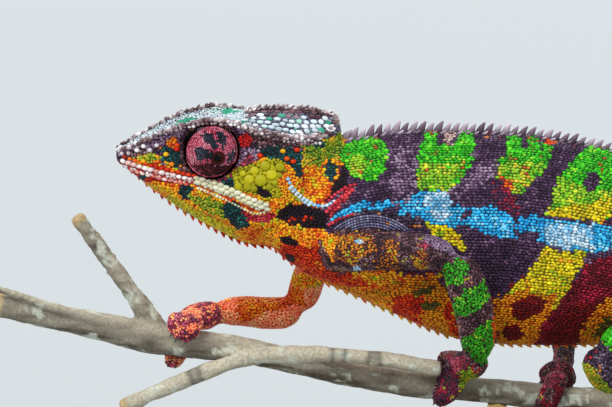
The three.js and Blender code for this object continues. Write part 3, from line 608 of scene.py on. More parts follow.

# %% [markdown]
# ## Markings of the legs and tail
# The legs carry green bands on dark purple, the far foreleg is an orange-pink brightened with painted light,
# and the tail repeats bands to its tip.

# %% Leg markings and the paint function
LEG_MARKS = {
    # the mauve area on the elbow's top is a painted highlight
    "fore_left": ("umber", marks_from("""
    ember area 1.2 2.5,-6.6 8,-7.4 9,-11.6 7,-14.6 4.5,-11.6
    tawny area 1.4 7,-7.4 16.5,-8 17.2,-11.1 14.5,-13.9 11,-15.1 7.5,-14.1
    tawny area 1.6 17,-14.6 20,-10.6 22,-8.6 23,-11.6 23.8,-16.6 18.5,-17.9
    tawny spot 1.4 28.5,-14.6 1.6,2
    sky spot 0.3 13.5,-9.5 1.1,0.5
    sky spot 0.3 12.6,-16.1 0.9,0.5
    rose spot 0.8 30.8,-9.9 2.2,1.3
    mauve area 1.4 29.5,-7.4 36.5,-8.6 41,-12.6 39.5,-14.6 33.5,-11.9 29.5,-10.6
    sward area 0.8 34.2,-15.4 38.5,-13.6 41,-15.4 38.8,-19.9 34.8,-21.1 33.2,-18.1
    sward area 0.8 44.6,-19.4 46.1,-23.4 43,-27.2 36.8,-29.1 35.4,-26.1 39,-22.1
    sward area 0.8 43.2,-30.4 48,-28.1 48.8,-35.6 46.5,-39.6 44,-40.4 41,-38.6 38.8,-34.6
    flame area 0.7 46.5,-28.1 48,-28.1 49.5,-35.6 48,-40.6 45.5,-41.1 47.1,-35.6
    rose area 0.9 36,-38.4 40.5,-38.4 41.5,-41.9 36.5,-43.1
    moss area 1.2 38,-42.4 41,-41.1 43,-43.6 41.5,-47.1 38.5,-47.6
    """)),
    # the far foreleg's orange-pink is partly its own colour, partly painted light that brightens it
    "fore_right": ("salmon", marks_from("""
    ember area 1.8 -22.8,-21.6 6,-21.6 6,-25.6 -22.8,-27.1
    orange area 1.6 -17.5,-27.6 -0.2,-26.6 -0.2,-32.1 -16.5,-33.1
    yellow area 0.7 -21,-22.1 -4.5,-21.6 -4.5,-24.1 -21,-24.6
    """)),
    "hind_left": ("dusk", marks_from("""
    green area 1 72.5,-31.6 83.5,-28.6 98.5,-24.1 98.5,-31.6 83.5,-34.1 76,-37.1
    moss area 0.8 68,-37.9 72.5,-42.1 77.5,-48.1 73.5,-51.6 68.5,-47.1 66.5,-40.6
    green area 1 83.5,-38.1 93.5,-33.1 98.5,-37.1 88.5,-43.1
    leaf area 1 78.5,-47.9 86,-44.1 90.5,-47.1 83.5,-52.1
    """)),
    "hind_right": ("umber", marks_from("""
    rose area 0.9 62.5,-36.6 65,-36.6 65,-43.6 60.5,-46.6 58.5,-45.1 62.5,-42.1
    """)),
}
HAND_PIGMENT = {"fore_left": "garnet", "fore_right": "rose", "hind_left": "dusk", "hind_right": "umber"}
# the far hand's flecks share that orange-pink brightened with painted light
HAND_FLECK = {"fore_left": "umber", "fore_right": "salmon", "hind_left": "moss", "hind_right": "crimson"}
TAIL_BANDS = [("dusk", 7.5), ("green", 6.5), ("purple", 3.0), ("blue", 2.5), ("crimson", 3.0)]
SHAPES = {"area": area, "spot": spot}
NAMES = list(PIGMENTS)
PART_NAMES = np.array(FLESH)


def lay(pigment, points, at, marks, ragged_dice):
    """Lays marks in order over the pigments already there."""
    drift = wobble(points, 2.6, 11) + 0.5 * wobble(points, 1.1, 12)
    for name, kind, ragged, *shape in marks:
        inside = SHAPES[kind](at, *shape) < ((ragged_dice - 0.5) * 0.9 + drift * 0.45) * ragged
        pigment[inside] = NAMES.index(name)


def pigment_of(points, part, ragged_dice):
    """The pigment of every point on the skin."""
    names = PART_NAMES[part]
    on_head = names == "head"
    at = plate(points, on_head.astype(float))
    pigment = np.full(len(points), NAMES.index("purple"))
    body = np.isin(names, ["head", "neck", "trunk"])
    for leg, (ground, marks) in LEG_MARKS.items():
        mine = np.char.startswith(names.astype(str), leg)
        spare = np.full(mine.sum(), NAMES.index(ground))
        gripping = np.isin(names[mine], [leg + "_hand", leg + "_foot"])
        fleck = wobble(points[mine], 1.6, 21) + 0.9 * (ragged_dice[mine] - 0.5) > 0.02
        hand, flecked = (NAMES.index(table[leg]) for table in (HAND_PIGMENT, HAND_FLECK))
        spare[gripping] = np.where(fleck, flecked, hand)[gripping]
        lay(spare, points[mine], at[mine], marks, ragged_dice[mine])
        pigment[mine] = spare
    spare = pigment[body]
    lay(spare, points[body], at[body], BODY_MARKS, ragged_dice[body])
    pigment[body] = spare
    # the roof of the head between the brow ridges, as far back as the casque
    level = leaned(points, -HEAD_LEAN)
    half, ridge_z = brow_at(level[:, 0])
    under = ridge_z - level[:, 2]
    inner = np.abs(level[:, 1]) < half - 0.6 - 0.45 * np.maximum(under, 0)
    roof = on_head & inner & (under < 5) & (level[:, 0] < ROOF_TO)
    cool = wobble(points, 3.0, 31)
    patch = np.hypot((level[:, 0] + 91) / 2.6, (np.abs(level[:, 1]) - 3.4) / 2.2) < 1 + 0.4 * cool
    pigment[roof] = np.where((cool > 0.5) | patch, NAMES.index("jade"), NAMES.index("frost"))[roof]
    # the sockets' skin round the turrets is dark umber: painted shade in the crease round each eye
    for centre in EYE_AT.values():
        socket = on_head & ~roof & (np.linalg.norm(points - centre, axis=1) < EYE["radius"] + 0.8)
        pigment[socket] = NAMES.index("umber")
    # tail bands by distance along the tail
    tail = np.char.startswith(names.astype(str), "tail")
    run = TAIL_RUN[nearest_of(points[tail], TAIL)] + 1.2 * wobble(points[tail], 3, 41)
    run = run + 1.2 * (ragged_dice[tail] - 0.5)
    steps = np.cumsum([length for _, length in TAIL_BANDS])
    band = np.searchsorted(steps, (run * (1 + run / 400)) % steps[-1])
    pigment[tail] = np.array([NAMES.index(name) for name, _ in TAIL_BANDS])[np.minimum(band, len(steps) - 1)]
    return pigment


def nearest_of(points, line):
    """Index of the nearest point of a dense line."""
    best, index = np.full(len(points), 1e9), np.zeros(len(points), int)
    for i, place in enumerate(line):
        far = ((points - place) ** 2).sum(1)
        closer = far < best
        best[closer], index[closer] = far[closer], i
    return index


GROUNDS = np.array([PIGMENTS[name][0] for name in NAMES])
print("leg markings:", {leg: len(marks) for leg, (_, marks) in LEG_MARKS.items()})


def scale_colours(pigment, points, dice):
    """One colour for each scale: neighbours draw like colours from their pigment's mix, a few stray."""
    drift = wobble(points, 2.4, 51) + 0.6 * wobble(points, 0.9, 52)
    draw = np.clip(0.5 + 0.34 * drift + 0.62 * (dice[:, 0] - 0.5), 0, 1)
    colour = np.zeros((len(pigment), 3))
    for number, name in enumerate(NAMES):
        mine = pigment == number
        _, share, mix = PIGMENTS[name]
        middle = share - np.diff(np.r_[0, share]) / 2
        colour[mine] = np.stack([np.interp(draw[mine], middle, mix[:, k]) for k in range(3)], 1)
    return colour * (0.87 + 0.27 * dice[:, 1:2])


# %% [markdown]
# ## The skin as a mesh
# The skin gets its own unwrap, and its colour is the dark ground of each pigment. It stands in for every
# flesh solid.

# %% Mesh helpers and the skin piece
def placed(name, data):
    """An object in the scene that holds the data."""
    thing = bpy.data.objects.new(name, data)
    bpy.context.collection.objects.link(thing)
    return thing


def paint(mesh, name, kind, values):
    """Values of a kind on a mesh's corners, as a named attribute; colours get their alpha."""
    if kind == "FLOAT_COLOR":
        values = np.c_[values, np.ones(len(values))]
    field = {"FLOAT_VECTOR": "vector", "FLOAT_COLOR": "color"}.get(kind, "value")
    values = np.asarray(values, np.int32 if kind == "INT" else np.float32)
    mesh.attributes.new(name, kind, "POINT").data.foreach_set(field, values.ravel())


def make_mesh(name, points, faces, colour):
    """A smooth mesh object from millimetre corners, with a colour on each corner."""
    mesh = bpy.data.meshes.new(name)
    if isinstance(faces, np.ndarray):
        mesh.vertices.add(len(points))
        mesh.vertices.foreach_set("co", (np.asarray(points) * MM).astype(np.float32).ravel())
        sides = faces.shape[1]
        mesh.loops.add(faces.size)
        mesh.loops.foreach_set("vertex_index", faces.astype(np.int32).ravel())
        mesh.polygons.add(len(faces))
        mesh.polygons.foreach_set("loop_start", (np.arange(len(faces)) * sides).astype(np.int32))
        mesh.update(calc_edges=True)
    else:
        mesh.from_pydata([tuple(p * MM) for p in np.asarray(points, float)], [], faces)
    mesh.validate()
    mesh.polygons.foreach_set("use_smooth", np.ones(len(mesh.polygons), bool))
    paint(mesh, "tint", "FLOAT_COLOR", colour)
    return placed(name, mesh)


def ring_faces(rings, sides, first=0):
    """Quads between rings of corners, then a fan to the one corner after them."""
    faces = []
    for ring in range(rings - 1):
        for k in range(sides):
            a, b = first + ring * sides + k, first + ring * sides + (k + 1) % sides
            faces.append((a, b, b + sides, a + sides))
    last = first + (rings - 1) * sides
    return faces + [(last + k, last + (k + 1) % sides, last + sides) for k in range(sides)]


def unwrap(thing):
    """A packed unwrap of a piece's own shape, named OFBake."""
    thing.data.uv_layers.new(name="OFBake")
    bpy.context.view_layer.objects.active = thing
    bpy.ops.object.select_all(action="DESELECT")
    thing.select_set(True)
    bpy.ops.object.mode_set(mode="EDIT")
    bpy.ops.mesh.select_all(action="SELECT")
    bpy.ops.uv.smart_project(angle_limit=math.radians(66), island_margin=0.001)
    bpy.ops.object.mode_set(mode="OBJECT")


skin_part = part_at(skin_points)
skin_normals = corner_normals(skin_points, skin_quads)
skin_pigment = pigment_of(skin_points, skin_part, np.full(len(skin_points), 0.5))
skin = make_mesh("skin", skin_points, skin_quads, GROUNDS[skin_pigment])
unwrap(skin)
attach(skin, "root")
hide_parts(*FLESH)
SKIN_UV = np.empty(len(skin.data.loops) * 2, np.float32)
skin.data.uv_layers["OFBake"].data.foreach_get("uv", SKIN_UV)
SKIN_UV = SKIN_UV.reshape(-1, 4, 2)
print("skin triangles:", len(skin.data.polygons) * 2)

# %% [markdown]
# ## Where the scales sit
# Scales are found by shooting rays from the middle of a part or by scattering points over the skin. A point
# keeps its place only if no scale already there is too near, so the large named scales go first and small
# granules fill what is left. Each scale then grows until it meets its neighbours, as granules do.

# %% Finding places on the skin
TREE = BVHTree.FromPolygons(skin_points.tolist(), skin_quads.tolist())


def shoot(starts, ways):
    """First hits of rays from inside or outside: places, faces and a flag for each."""
    places, faces = np.zeros((len(starts), 3)), np.full(len(starts), -1)
    for i, (start, way) in enumerate(zip(starts.tolist(), ways.tolist())):
        place, _, face, _ = TREE.ray_cast(start, way)
        if place is not None:
            places[i], faces[i] = place, face
    return places, faces


def settle(points):
    """The nearest places on the skin."""
    places, faces = np.zeros((len(points), 3)), np.full(len(points), -1)
    for i, point in enumerate(np.asarray(points, float).tolist()):
        place, _, face, _ = TREE.find_nearest(point)
        places[i], faces[i] = place, face
    return places, faces


def blended(places, faces, values):
    """Values at the four corners of each place's face, blended by their nearness to it."""
    weight = 1 / (np.linalg.norm(skin_points[skin_quads[faces]] - places[:, None], axis=2) ** 2 + 0.01)
    weight /= weight.sum(1, keepdims=True)
    return (values * weight[..., None]).sum(1)


def mirrored(points, on_head=True):
    """The same places on the other side of the animal."""
    p = leaned(points, -HEAD_LEAN) if on_head else np.array(points, float)
    p[..., 1] *= -1
    return leaned(p) if on_head else p


def from_plate(at, side, on_head=True):
    """Places on the skin under plate coordinates, on the left (-1) or the right (1)."""
    at = np.asarray(at, float).reshape(-1, 2)
    up = np.array([0, math.sin(PLATE_TILT), math.cos(PLATE_TILT)])
    eye = np.array(PLATE_AT) - PLATE_FAR * np.array([0, math.cos(PLATE_TILT), -math.sin(PLATE_TILT)])
    aims = np.array(PLATE_AT) + at[:, :1] * np.array([1, 0, 0]) + at[:, 1:] * up
    places, faces = shoot(np.repeat(eye[None], len(at), 0), aims - eye)
    places = places[faces >= 0]
    return settle(mirrored(places, on_head))[0] if side > 0 else places


class Places:
    """Scales found so far, with a hash of cells for quick neighbour tests. A cell is wider than any gap."""

    CELL = 2
    def __init__(self):
        self.rows, self.cells = [], {}

    def add(self, points, faces, spacing, kind, size=None, pigment=-1, force=False, lie=None, standoff=0.0):
        """Keeps each point that has room. Size is (along, across, height) in millimetres."""
        spacing = np.broadcast_to(spacing, len(points)).tolist()
        size = np.broadcast_to((0, 0, 0) if size is None else size, (len(points), 3)).tolist()
        lie = np.zeros((len(points), 3)) if lie is None else np.broadcast_to(lie, (len(points), 3))
        lie = lie.tolist()
        kind = np.broadcast_to(kind, len(points)).tolist()
        before = len(self.rows)
        for i, point in enumerate(points.tolist()):
            x, y, z = point
            gap = spacing[i]
            cx, cy, cz = int(x // self.CELL), int(y // self.CELL), int(z // self.CELL)
            if not force and self.crowded(x, y, z, gap, cx, cy, cz):
                continue
            self.cells.setdefault((cx, cy, cz), []).append((x, y, z, gap))
            self.rows.append((x, y, z, faces[i], kind[i], *size[i], pigment, *lie[i], standoff, gap))
        return len(self.rows) - before

    def crowded(self, x, y, z, gap, cx, cy, cz):
        """True where a scale already kept is nearer than the two gaps allow."""
        for ix in (cx - 1, cx, cx + 1):
            for iy in (cy - 1, cy, cy + 1):
                for iz in (cz - 1, cz, cz + 1):
                    for px, py, pz, other in self.cells.get((ix, iy, iz), ()):
                        reach = (gap + other) * 0.5
                        if (px - x) ** 2 + (py - y) ** 2 + (pz - z) ** 2 < reach * reach:
                            return True
        return False


GRANULE, PLATE_SCALE, CONE, BEAD = range(4)
places = Places()
print("faces to hit:", len(skin_quads))

# %% [markdown]
# ## Named scales of the head
# The large scales that give the species its face: white bumps along the brow ridges and casque, long plates
# on the casque's side, the pale lip row and cheek stripe, the yellow cheek tubercles and the chain of blue
# beads.

# %% Head scales
def ridge_row(line, pitch, across, kind, size, pigment, jitter=0.16, rough=0.45):
    """Scales along a line given before the head's lean; on both sides where it is off the middle."""
    curve, run = along_line(line, 400)
    count = int(run[-1] / pitch)
    at = np.interp(np.arange(count) * pitch, run, np.arange(400)).astype(int)
    spots = curve[at] + RNG.normal(0, jitter, (count, 3)) + np.array(across)
    for side in ((-1, 1) if np.abs(line)[:, 1].max() > 0.6 else (1,)):
        spots_here = leaned(spots * np.array([1, side, 1]))
        found, faces = settle(spots_here)
        grow = RNG.uniform(0.72, 1.22, (len(found), 1))
        kinds = np.where(RNG.random(len(found)) < rough, CONE, kind)
        places.add(found, faces, 0.0, kinds, np.array(size) * grow, NAMES.index(pigment), force=True)


for across, size in (((0, 0.1, 0.6), (1.25, 1.05, 0.8)), ((0.5, 0.95, 0.2), (1.1, 0.95, 0.55)),
                     ((0.2, -0.75, 0.3), (1.15, 0.95, 0.6)), ((0.6, 1.5, -0.8), (1.0, 0.85, 0.42))):
    ridge_row(BROW[:-1], 1.12, across, BEAD, size, "ridge", rough=0.3)
ridge_row(CREST, 1.15, (0, 0, 0.3), CONE, (1.2, 1.0, 1.0), "ridge")
for across in (-0.75, 0.75):
    ridge_row(CREST, 1.0, (0.4, across, -0.2), BEAD, (1.05, 0.9, 0.55), "ridge")
    # the dark umber granules at the crest's foot are painted shade beside the crest
    ridge_row(CREST, 0.95, (0, across * 1.5, -1.0), GRANULE, (0.95, 0.8, 0.35), "umber", rough=0)
RIM = np.array(numbers(
    "-52.6,0.6,124 -52.8,1.6,122 -54.5,4.4,120.2 -57.5,6.6,119.4 -61.5,9,119.2 -68,10.8,120.2"))
for across in ((0, 0, 0), (-0.9, -0.3, 0.5)):
    ridge_row(RIM, 1.1, across, BEAD, (1.25, 1.05, 0.7), "ridge")

for level in range(6):
    share = (level + 0.5) / 7
    x = np.arange(-76 + (level % 2) * 0.9, -54.5, 1.8) + RNG.uniform(-0.2, 0.2)
    half, ridge_z = brow_at(x)
    y, z = half * (1 - share), ridge_z * (1 - share) + np.interp(x, CREST[:, 0], CREST[:, 2]) * share
    for side in (-1, 1):
        found, faces = settle(leaned(np.c_[x, side * y, z]) + RNG.normal(0, 0.14, (len(x), 3)))
        keep = np.where(np.abs(y) > 0.9)[0]
        pigments = np.where(RNG.random(len(keep)) < 0.1, NAMES.index("jade"), NAMES.index("frost"))
        # the plate rows nearest the crest turn umber: painted shade under the crest
        pigments[RNG.random(len(keep)) < (0, 0, 0, 0.15, 0.5, 1)[level]] = NAMES.index("umber")
        for k, pigment in zip(keep, pigments):
            places.add(found[k:k + 1], faces[k:k + 1], 0.0, PLATE_SCALE,
                       np.array((2.0, 1.45, 0.34)) * RNG.uniform(0.78, 1.1, 3), int(pigment), force=True)


def plate_rows(line, pitch, offsets, kind, size, pigment):
    """Rows of scales beside a line on the side plate, on both sides of the head."""
    fine, run = along_line([(a, b, 0) for a, b in line], 300)
    for number, offset in enumerate(offsets):
        at = np.interp(np.arange(pitch * 0.5 * (number % 2), run[-1], pitch), run, np.arange(300)).astype(int)
        way = np.gradient(fine, axis=0)[at]
        way /= np.linalg.norm(way, axis=1, keepdims=True)
        flat = fine[at, :2] + np.c_[-way[:, 1], way[:, 0]] * offset
        for side in (-1, 1):
            found, faces = settle(from_plate(flat, side))
            reach = np.array(size) * (1 + RNG.uniform(-0.18, 0.14, (len(found), 1)))
            places.add(found, faces, 0.0, kind, reach, NAMES.index(pigment), force=True)


# the lines between the lips, of the pale cheek stripe and of the upper lip
MOUTH = numbers("""
    -46.1,10 -41.9,8.7 -37.8,7.3 -33.6,6.2 -29.4,5.3 -26.9,4.4 -23.6,3.3 -19.4,1.4 -15.7,-0.4 -12.8,-1.8
    -9.4,-1.8
""")
STRIPE = numbers("-27.5,5.9 -24.4,5.1 -21.1,4 -17.8,2.5 -14.8,1 -11.9,0 -9.4,-1")
LIP = numbers("-45.7,10.5 -41.9,9.2 -37.8,8 -33.6,7 -29.4,6 -27.8,5.7")
plate_rows(STRIPE, 1.55, (0.52, -0.5), PLATE_SCALE, (1.85, 1.2, 0.4), "cream")
plate_rows(LIP, 1.45, (0.2,), PLATE_SCALE, (1.6, 1.1, 0.55), "lip")
plate_rows(LIP, 1.4, (1.2,), PLATE_SCALE, (1.5, 0.95, 0.42), "flame")
plate_rows(LIP[:5], 1.4, (-1.3,), PLATE_SCALE, (1.45, 0.85, 0.45), "lip_low")
LOWER_LINE = numbers("-26.9,3.8 -23.6,2.5 -19.4,0.6 -15.7,-1.2 -12.8,-2.5 -9.8,-2")
plate_rows(LOWER_LINE, 0.85, (0.0,), BEAD, (0.9, 0.75, 0.4), "cream")


def set_pair(at, gap, kind, size, pigment):
    """The same scale at a place on both sides of the head."""
    for side in (-1, 1):
        found, faces = settle(from_plate(at, side))
        places.add(found, faces, gap, kind, size, NAMES.index(pigment), force=True)


CHEEK_SCALES = numbers("""
    -10.2,9.4,2.7 -8.6,7.2,2.7 -11.3,5.8,3.1 -14.2,6,2.5 -12.9,8.2,2.2 -14.6,4.2,2.1 -16.9,4.3,2
    -6.5,9.1,2.3 -9.2,4.1,1.7 -15.8,7.5,1.7 -6.7,7.1,1.5 -13,3.7,1.7 -17.5,6.3,1.5 -7.1,2.1,1.5
    -7.8,5.2,1.5
""")                                # place and breadth of each tubercle
for x, up, breadth in CHEEK_SCALES:
    size = (breadth * 1.14, breadth * 1.06, 0.16 + breadth * 0.13)
    set_pair((x, up), breadth * 0.9, PLATE_SCALE, size, "cheek")
for pigment, line in (("orange", "-4.8,11.2 -5.8,13.1"),
                      ("flame", "-3.2,10.5 -11.5,12 -2.3,13.4"),
                      ("orange", "-33.6,9.8 -32.2,14.6"),
                      ("flame", "-32.3,13.6"),
                      ("orange", "-35,12.3"),
                      ("ember", "-40.6,10.6")):
    for at in numbers(line):
        set_pair(at, 1.3, BEAD, (1.6, 1.3, 0.55), pigment)
BEAD_CHAINS = (
    ("sky", "-4.5,6.1 -3.8,4.6 -2.8,3.3 -1.5,2 0.2,0.8 2.5,-0.5 5,-0.5 7.5,0.8"),
    ("sky", "-4,3.8 -2.3,2.1 -0.5,0.5 1.4,-0.8"),
    ("blue", "6.6,-4 8.1,-2.7 10.2,-1.7 12.2,-0.7"),
    ("red", "5.2,-2 6.9,-0.2 8.6,1.3 10.7,2.5 12.2,3.8"),
    ("red", "5,0 6.8,1.9 8.7,3.2 10.7,4.4"),
    ("red", "5.8,-5.3 8.1,-4 10.2,-3.2 12.2,-2.5"))
for pigment, line in BEAD_CHAINS:
    plate_rows(numbers(line), 1.05, (0.0,), BEAD, (1.15, 1.0, 0.42), pigment)
for x, up, breadth in numbers("""
    -46.3,13.9,1.5 -45.2,15.1,1.6 -43.9,16.2,1.4 -44,14.1,1.6 -42.5,15,1.4 -42.2,13.4,1.5 -40.6,14.4,1.4
    -39,13.4,1.5 -40.8,16,1.2 -45.9,12.5,1.3 -44.3,12.6,1.3 -37.3,14.6,1.3
"""):                               # pale bumps of the snout
    set_pair((x, up), breadth * 0.8, BEAD, (breadth, breadth * 0.9, breadth * 0.5), "rime")
print("named head scales:", len(places.rows))

# %% [markdown]
# ## Rows of the trunk, rings of the tail and crests
# On the flank the granules run in level rows at a constant distance from the backbone. Rays from the body's
# axis find each row on the finished skin. The tail's rows are rings, and cones stand along the back, throat
# and belly.

# %% Rows, rings and crests
# x, back, belly and half breadth of the trunk
TRUNK = np.array(numbers("""
    -76,112,94,9.6 -69,115.4,89,12 -62.5,118,83.4,13 -52.3,117.2,78.9,13.9 -39,119.6,72.7,14.9
    -25.2,119.6,66.8,15.7 -12,119.4,64.8,16 4,117.4,64.6,16 16,114.8,64.7,15.6 30,110.4,66.4,14.4
    42,105.4,69.8,12.4 52,100.4,73.2,9.8 60,95.6,76.6,7.4
"""))
ROW_ALONG = 1.06
ROW_DOWN = 0.76
ROW_GAP = 0.655                      # nearest two granules of the flank rows may stand
TAIL_HALF = np.array(numbers("0,8.7 0.04,8 0.1,6.6 0.2,5.4 0.4,4 0.7,2.35 1,0.95"))     # half breadth


def keep_on(points, faces, names):
    """Only the hits that lie on the named solids."""
    on = np.isin(PART_NAMES[part_at(points)], names) & (faces >= 0)
    return points[on], faces[on]


def torso_rows():
    """Level rows along the body: each row has its own start and pitch, so no lattice shows."""
    turn = np.linspace(0, math.pi, 240)
    stations = np.arange(-68, 62, 0.5)
    reach = np.arange(0.45, 92, ROW_DOWN)
    y_at, z_at = np.full((2, len(stations), len(reach)), np.nan)
    middles = np.zeros(len(stations))
    for i, x in enumerate(stations):
        back, belly, half = (np.interp(x, TRUNK[:, 0], TRUNK[:, k]) for k in (1, 2, 3))
        middles[i] = belly + 0.44 * (back - belly)
        upper = np.cos(turn) > 0
        y = np.sin(turn) ** np.where(upper, 1.28, 1.0) * half
        z = middles[i] + np.cos(turn) * np.where(upper, back - middles[i], middles[i] - belly)
        run = np.r_[0, np.cumsum(np.hypot(np.diff(y), np.diff(z)))]
        y_at[i] = np.interp(reach, run, y, right=np.nan)
        z_at[i] = np.interp(reach, run, z, right=np.nan)
    starts, ways = [], []
    for row in range(len(reach)):
        for side in (-1, 1):
            x = np.arange(-59 + RNG.random() * ROW_ALONG, 60, ROW_ALONG * RNG.uniform(0.94, 1.08))
            x = x + RNG.normal(0, 0.09, len(x))
            y, z = np.interp(x, stations, y_at[:, row]), np.interp(x, stations, z_at[:, row])
            middle = np.interp(x, stations, middles)
            ok = ~np.isnan(y)
            starts.append(np.c_[x, 0 * x, middle][ok])
            ways.append(np.c_[0 * x, side * y, z - middle + RNG.normal(0, 0.05, len(x))][ok])
    return keep_on(*shoot(np.vstack(starts), np.vstack(ways)), ["neck", "trunk"])


def tail_rings():
    """Rings of places round the tail, every other one turned by half a pitch, and the pitch of each."""
    starts, ways, gaps = [], [], []
    run, number = 4.0, 0
    while run < TAIL_RUN[-1] - 1:
        i = int(np.searchsorted(TAIL_RUN, run))
        half = np.interp(run / TAIL_RUN[-1], TAIL_HALF[:, 0], TAIL_HALF[:, 1])
        pitch = float(np.clip(0.11 * half + 0.42, 0.5, 1.1))
        count = max(8, round(2 * math.pi * half / pitch))
        along = TAIL[min(i + 1, 499)] - TAIL[i - 1]
        outward = np.cross(along / np.linalg.norm(along), (0, 1, 0))
        turn = (np.arange(count) + 0.5 * (number % 2)) * 2 * math.pi / count
        ways.append(np.outer(np.cos(turn), outward) + np.outer(np.sin(turn), (0, 1, 0)))
        starts.append(np.repeat(TAIL[i][None], count, 0))
        gaps.append(np.full(count, pitch))
        run, number = run + pitch * 0.88, number + 1
    points, faces = shoot(np.vstack(starts), np.vstack(ways))
    ok = (faces >= 0) & np.char.startswith(PART_NAMES[part_at(points)].astype(str), "tail")
    return points[ok], faces[ok], np.concatenate(gaps)[ok]


def crest(xs, height_from, way, sizes, pigment, spacing, parts, y=0.0):
    """Cones along the back or the belly, found by rays from above or below."""
    ends = np.c_[xs, np.full(len(xs), y), np.broadcast_to(height_from, len(xs))]
    points, faces = shoot(ends, np.repeat([[0, 0, way]], len(xs), 0))
    ok = (faces >= 0) & np.isin(PART_NAMES[part_at(points)], parts)
    places.add(points[ok], faces[ok], spacing, CONE, sizes[ok], NAMES.index(pigment), force=True)


back_x = np.arange(-51.4, 60, 2.1)
share = (back_x + 51.4) / 111
tall = (1 - 0.4 * share) * (1 + 0.1 * np.sin(np.arange(len(back_x)) * 2.4))
crest(back_x, 160.0, -1, np.c_[2.5 * tall, 1.6 * tall, 2.7 * tall], "crest", 1.2, ["neck", "trunk"])
for side in (-1.25, 1.25):
    crest(back_x + 1.1, 160.0, -1, np.c_[1.6 * tall, 1.2 * tall, 0.8 * tall], "crest", 1.0,
          ["neck", "trunk"], side)
belly_x = np.arange(-58, 52, 2.3)
crest(belly_x, 62.6, 1, np.tile((1.9, 1.2, 1.0), (len(belly_x), 1)), "ember", 1.1, ["neck", "trunk"])
throat_x = np.arange(-106.5, -58.5, 1.9)
tall = 0.75 + 0.4 * np.sin(np.pi * (throat_x + 106.5) / 48)
crest(throat_x, 86.0, 1, np.c_[1.5 * tall, 1.2 * tall, 0.95 * tall], "flame", 1.0, ["head", "neck"])
tail_i = np.searchsorted(TAIL_RUN, np.arange(6, 150, 2.0))
tail_way = np.cross(np.gradient(TAIL, axis=0)[tail_i], (0, 1, 0))
points, faces = shoot(TAIL[tail_i], tail_way)
tall = np.interp(np.arange(len(tail_i)), [0, len(tail_i)], [1, 0.45])[:, None]
places.add(points, faces, 0.9, CONE, np.array([[1.6, 1.2, 1.2]]) * tall, NAMES.index("dusk"), force=True)
named = len(places.rows)

for reach in np.arange(8.4, 13.8, 0.68):
    turn = np.arange(math.radians(28), math.radians(152), 0.8 / reach)
    for side in (-1, 1):
        starts = np.c_[FOLD_X + reach * np.cos(turn), np.full(len(turn), side * 40.0),
                       FOLD_Z + reach * np.sin(turn) / 1.1]
        points, faces = keep_on(*shoot(starts, np.repeat([[0, -side, 0]], len(turn), 0)), ["neck", "trunk"])
        ok = (points[:, 2] > 96.5) & (np.abs(points[:, 1]) > 9)
        lie = np.c_[points[:, 2] - FOLD_Z, 0 * points[:, 2], FOLD_X - points[:, 0]]
        places.add(points[ok], faces[ok], 0.62, GRANULE, (1.0, 0.6, 0.28), NAMES.index("fold"), lie=lie[ok])
points, faces = torso_rows()
kept = places.add(points, faces, ROW_GAP, GRANULE)
points, faces, gaps = tail_rings()
kept_tail = places.add(points, faces, gaps * 0.78, GRANULE)
print("named scales:", named, "flank rows:", kept, "tail rings:", kept_tail)

# %% [markdown]
# ## Small granules fill the rest
# Points are thrown on the skin evenly, then kept only where there is room, in passes of falling size. The
# walls of the eye sockets and the line of the mouth stay bare.

# %% Scatter and fill
SPACING = dict(head=0.69, neck=0.72, trunk=0.82, upper_arm=0.64, forearm=0.74, hand=0.6, thigh=0.84,
               shank=0.78, foot=0.6)


def spacing_at(part, points):
    """Distance between granules on each part; on the tail it falls with its girth."""
    gap = np.zeros(len(part))
    for number, name in enumerate(FLESH):
        mine = part == number
        key = name.split("_", 2)[-1] if name.startswith(("fore", "hind")) else name
        if name.startswith("tail"):
            run = TAIL_RUN[nearest_of(points[mine], TAIL)] / TAIL_RUN[-1]
            gap[mine] = np.clip(0.11 * np.interp(run, TAIL_HALF[:, 0], TAIL_HALF[:, 1]) + 0.42, 0.5, 1.05)
        else:
            gap[mine] = SPACING[key]
    return gap


def scatter(count):
    """Random points on the skin, spread evenly by area."""
    corner = skin_points[skin_quads]
    area_of = np.linalg.norm(np.cross(corner[:, 2] - corner[:, 0], corner[:, 3] - corner[:, 1]), axis=1)
    faces = RNG.choice(len(area_of), count, p=area_of / area_of.sum())
    u, v = RNG.random((2, count, 1))
    c = corner[faces]
    points = (c[:, 0] * (1 - u) + c[:, 1] * u) * (1 - v) + (c[:, 3] * (1 - u) + c[:, 2] * u) * v
    return points, faces


def bare(points, part):
    """True where no scale grows: in the eye sockets and along the mouth."""
    skip = np.zeros(len(points), bool)
    level = leaned(points, -HEAD_LEAN)
    roof = (np.abs(level[:, 1]) < brow_at(level[:, 0])[0] - 0.6) & (level[:, 2] > EYE["centre"][2] + 5)
    for centre in EYE_AT.values():
        skip |= (np.linalg.norm(points - centre, axis=1) < EYE["radius"] + 0.5) & ~roof
    on_head = PART_NAMES[part] == "head"
    at = plate(points[on_head], np.ones(on_head.sum()))
    skip[on_head] |= edge_distance(at, MOUTH) < 0.3
    return skip


for shrink, count in ((1.0, 150000), (0.8, 150000), (0.62, 120000)):
    points, faces = scatter(count)
    part = part_at(points)
    ok = ~bare(points, part)
    points, faces, part = points[ok], faces[ok], part[ok]
    print("filled with", places.add(points, faces, spacing_at(part, points) * 0.86 * shrink, GRANULE))
rows = np.array(places.rows)
print("scales in all:", len(rows))

# %% [markdown]
# ## Size, direction and colour of each scale
# A granule's breadth is the mean distance to its nearest neighbours, so the coat closes without overlaps.
# It lies along the part it grows on, and takes its pigment from the markings and its exact colour from that
# pigment's mix.

# %% Attributes of the scales

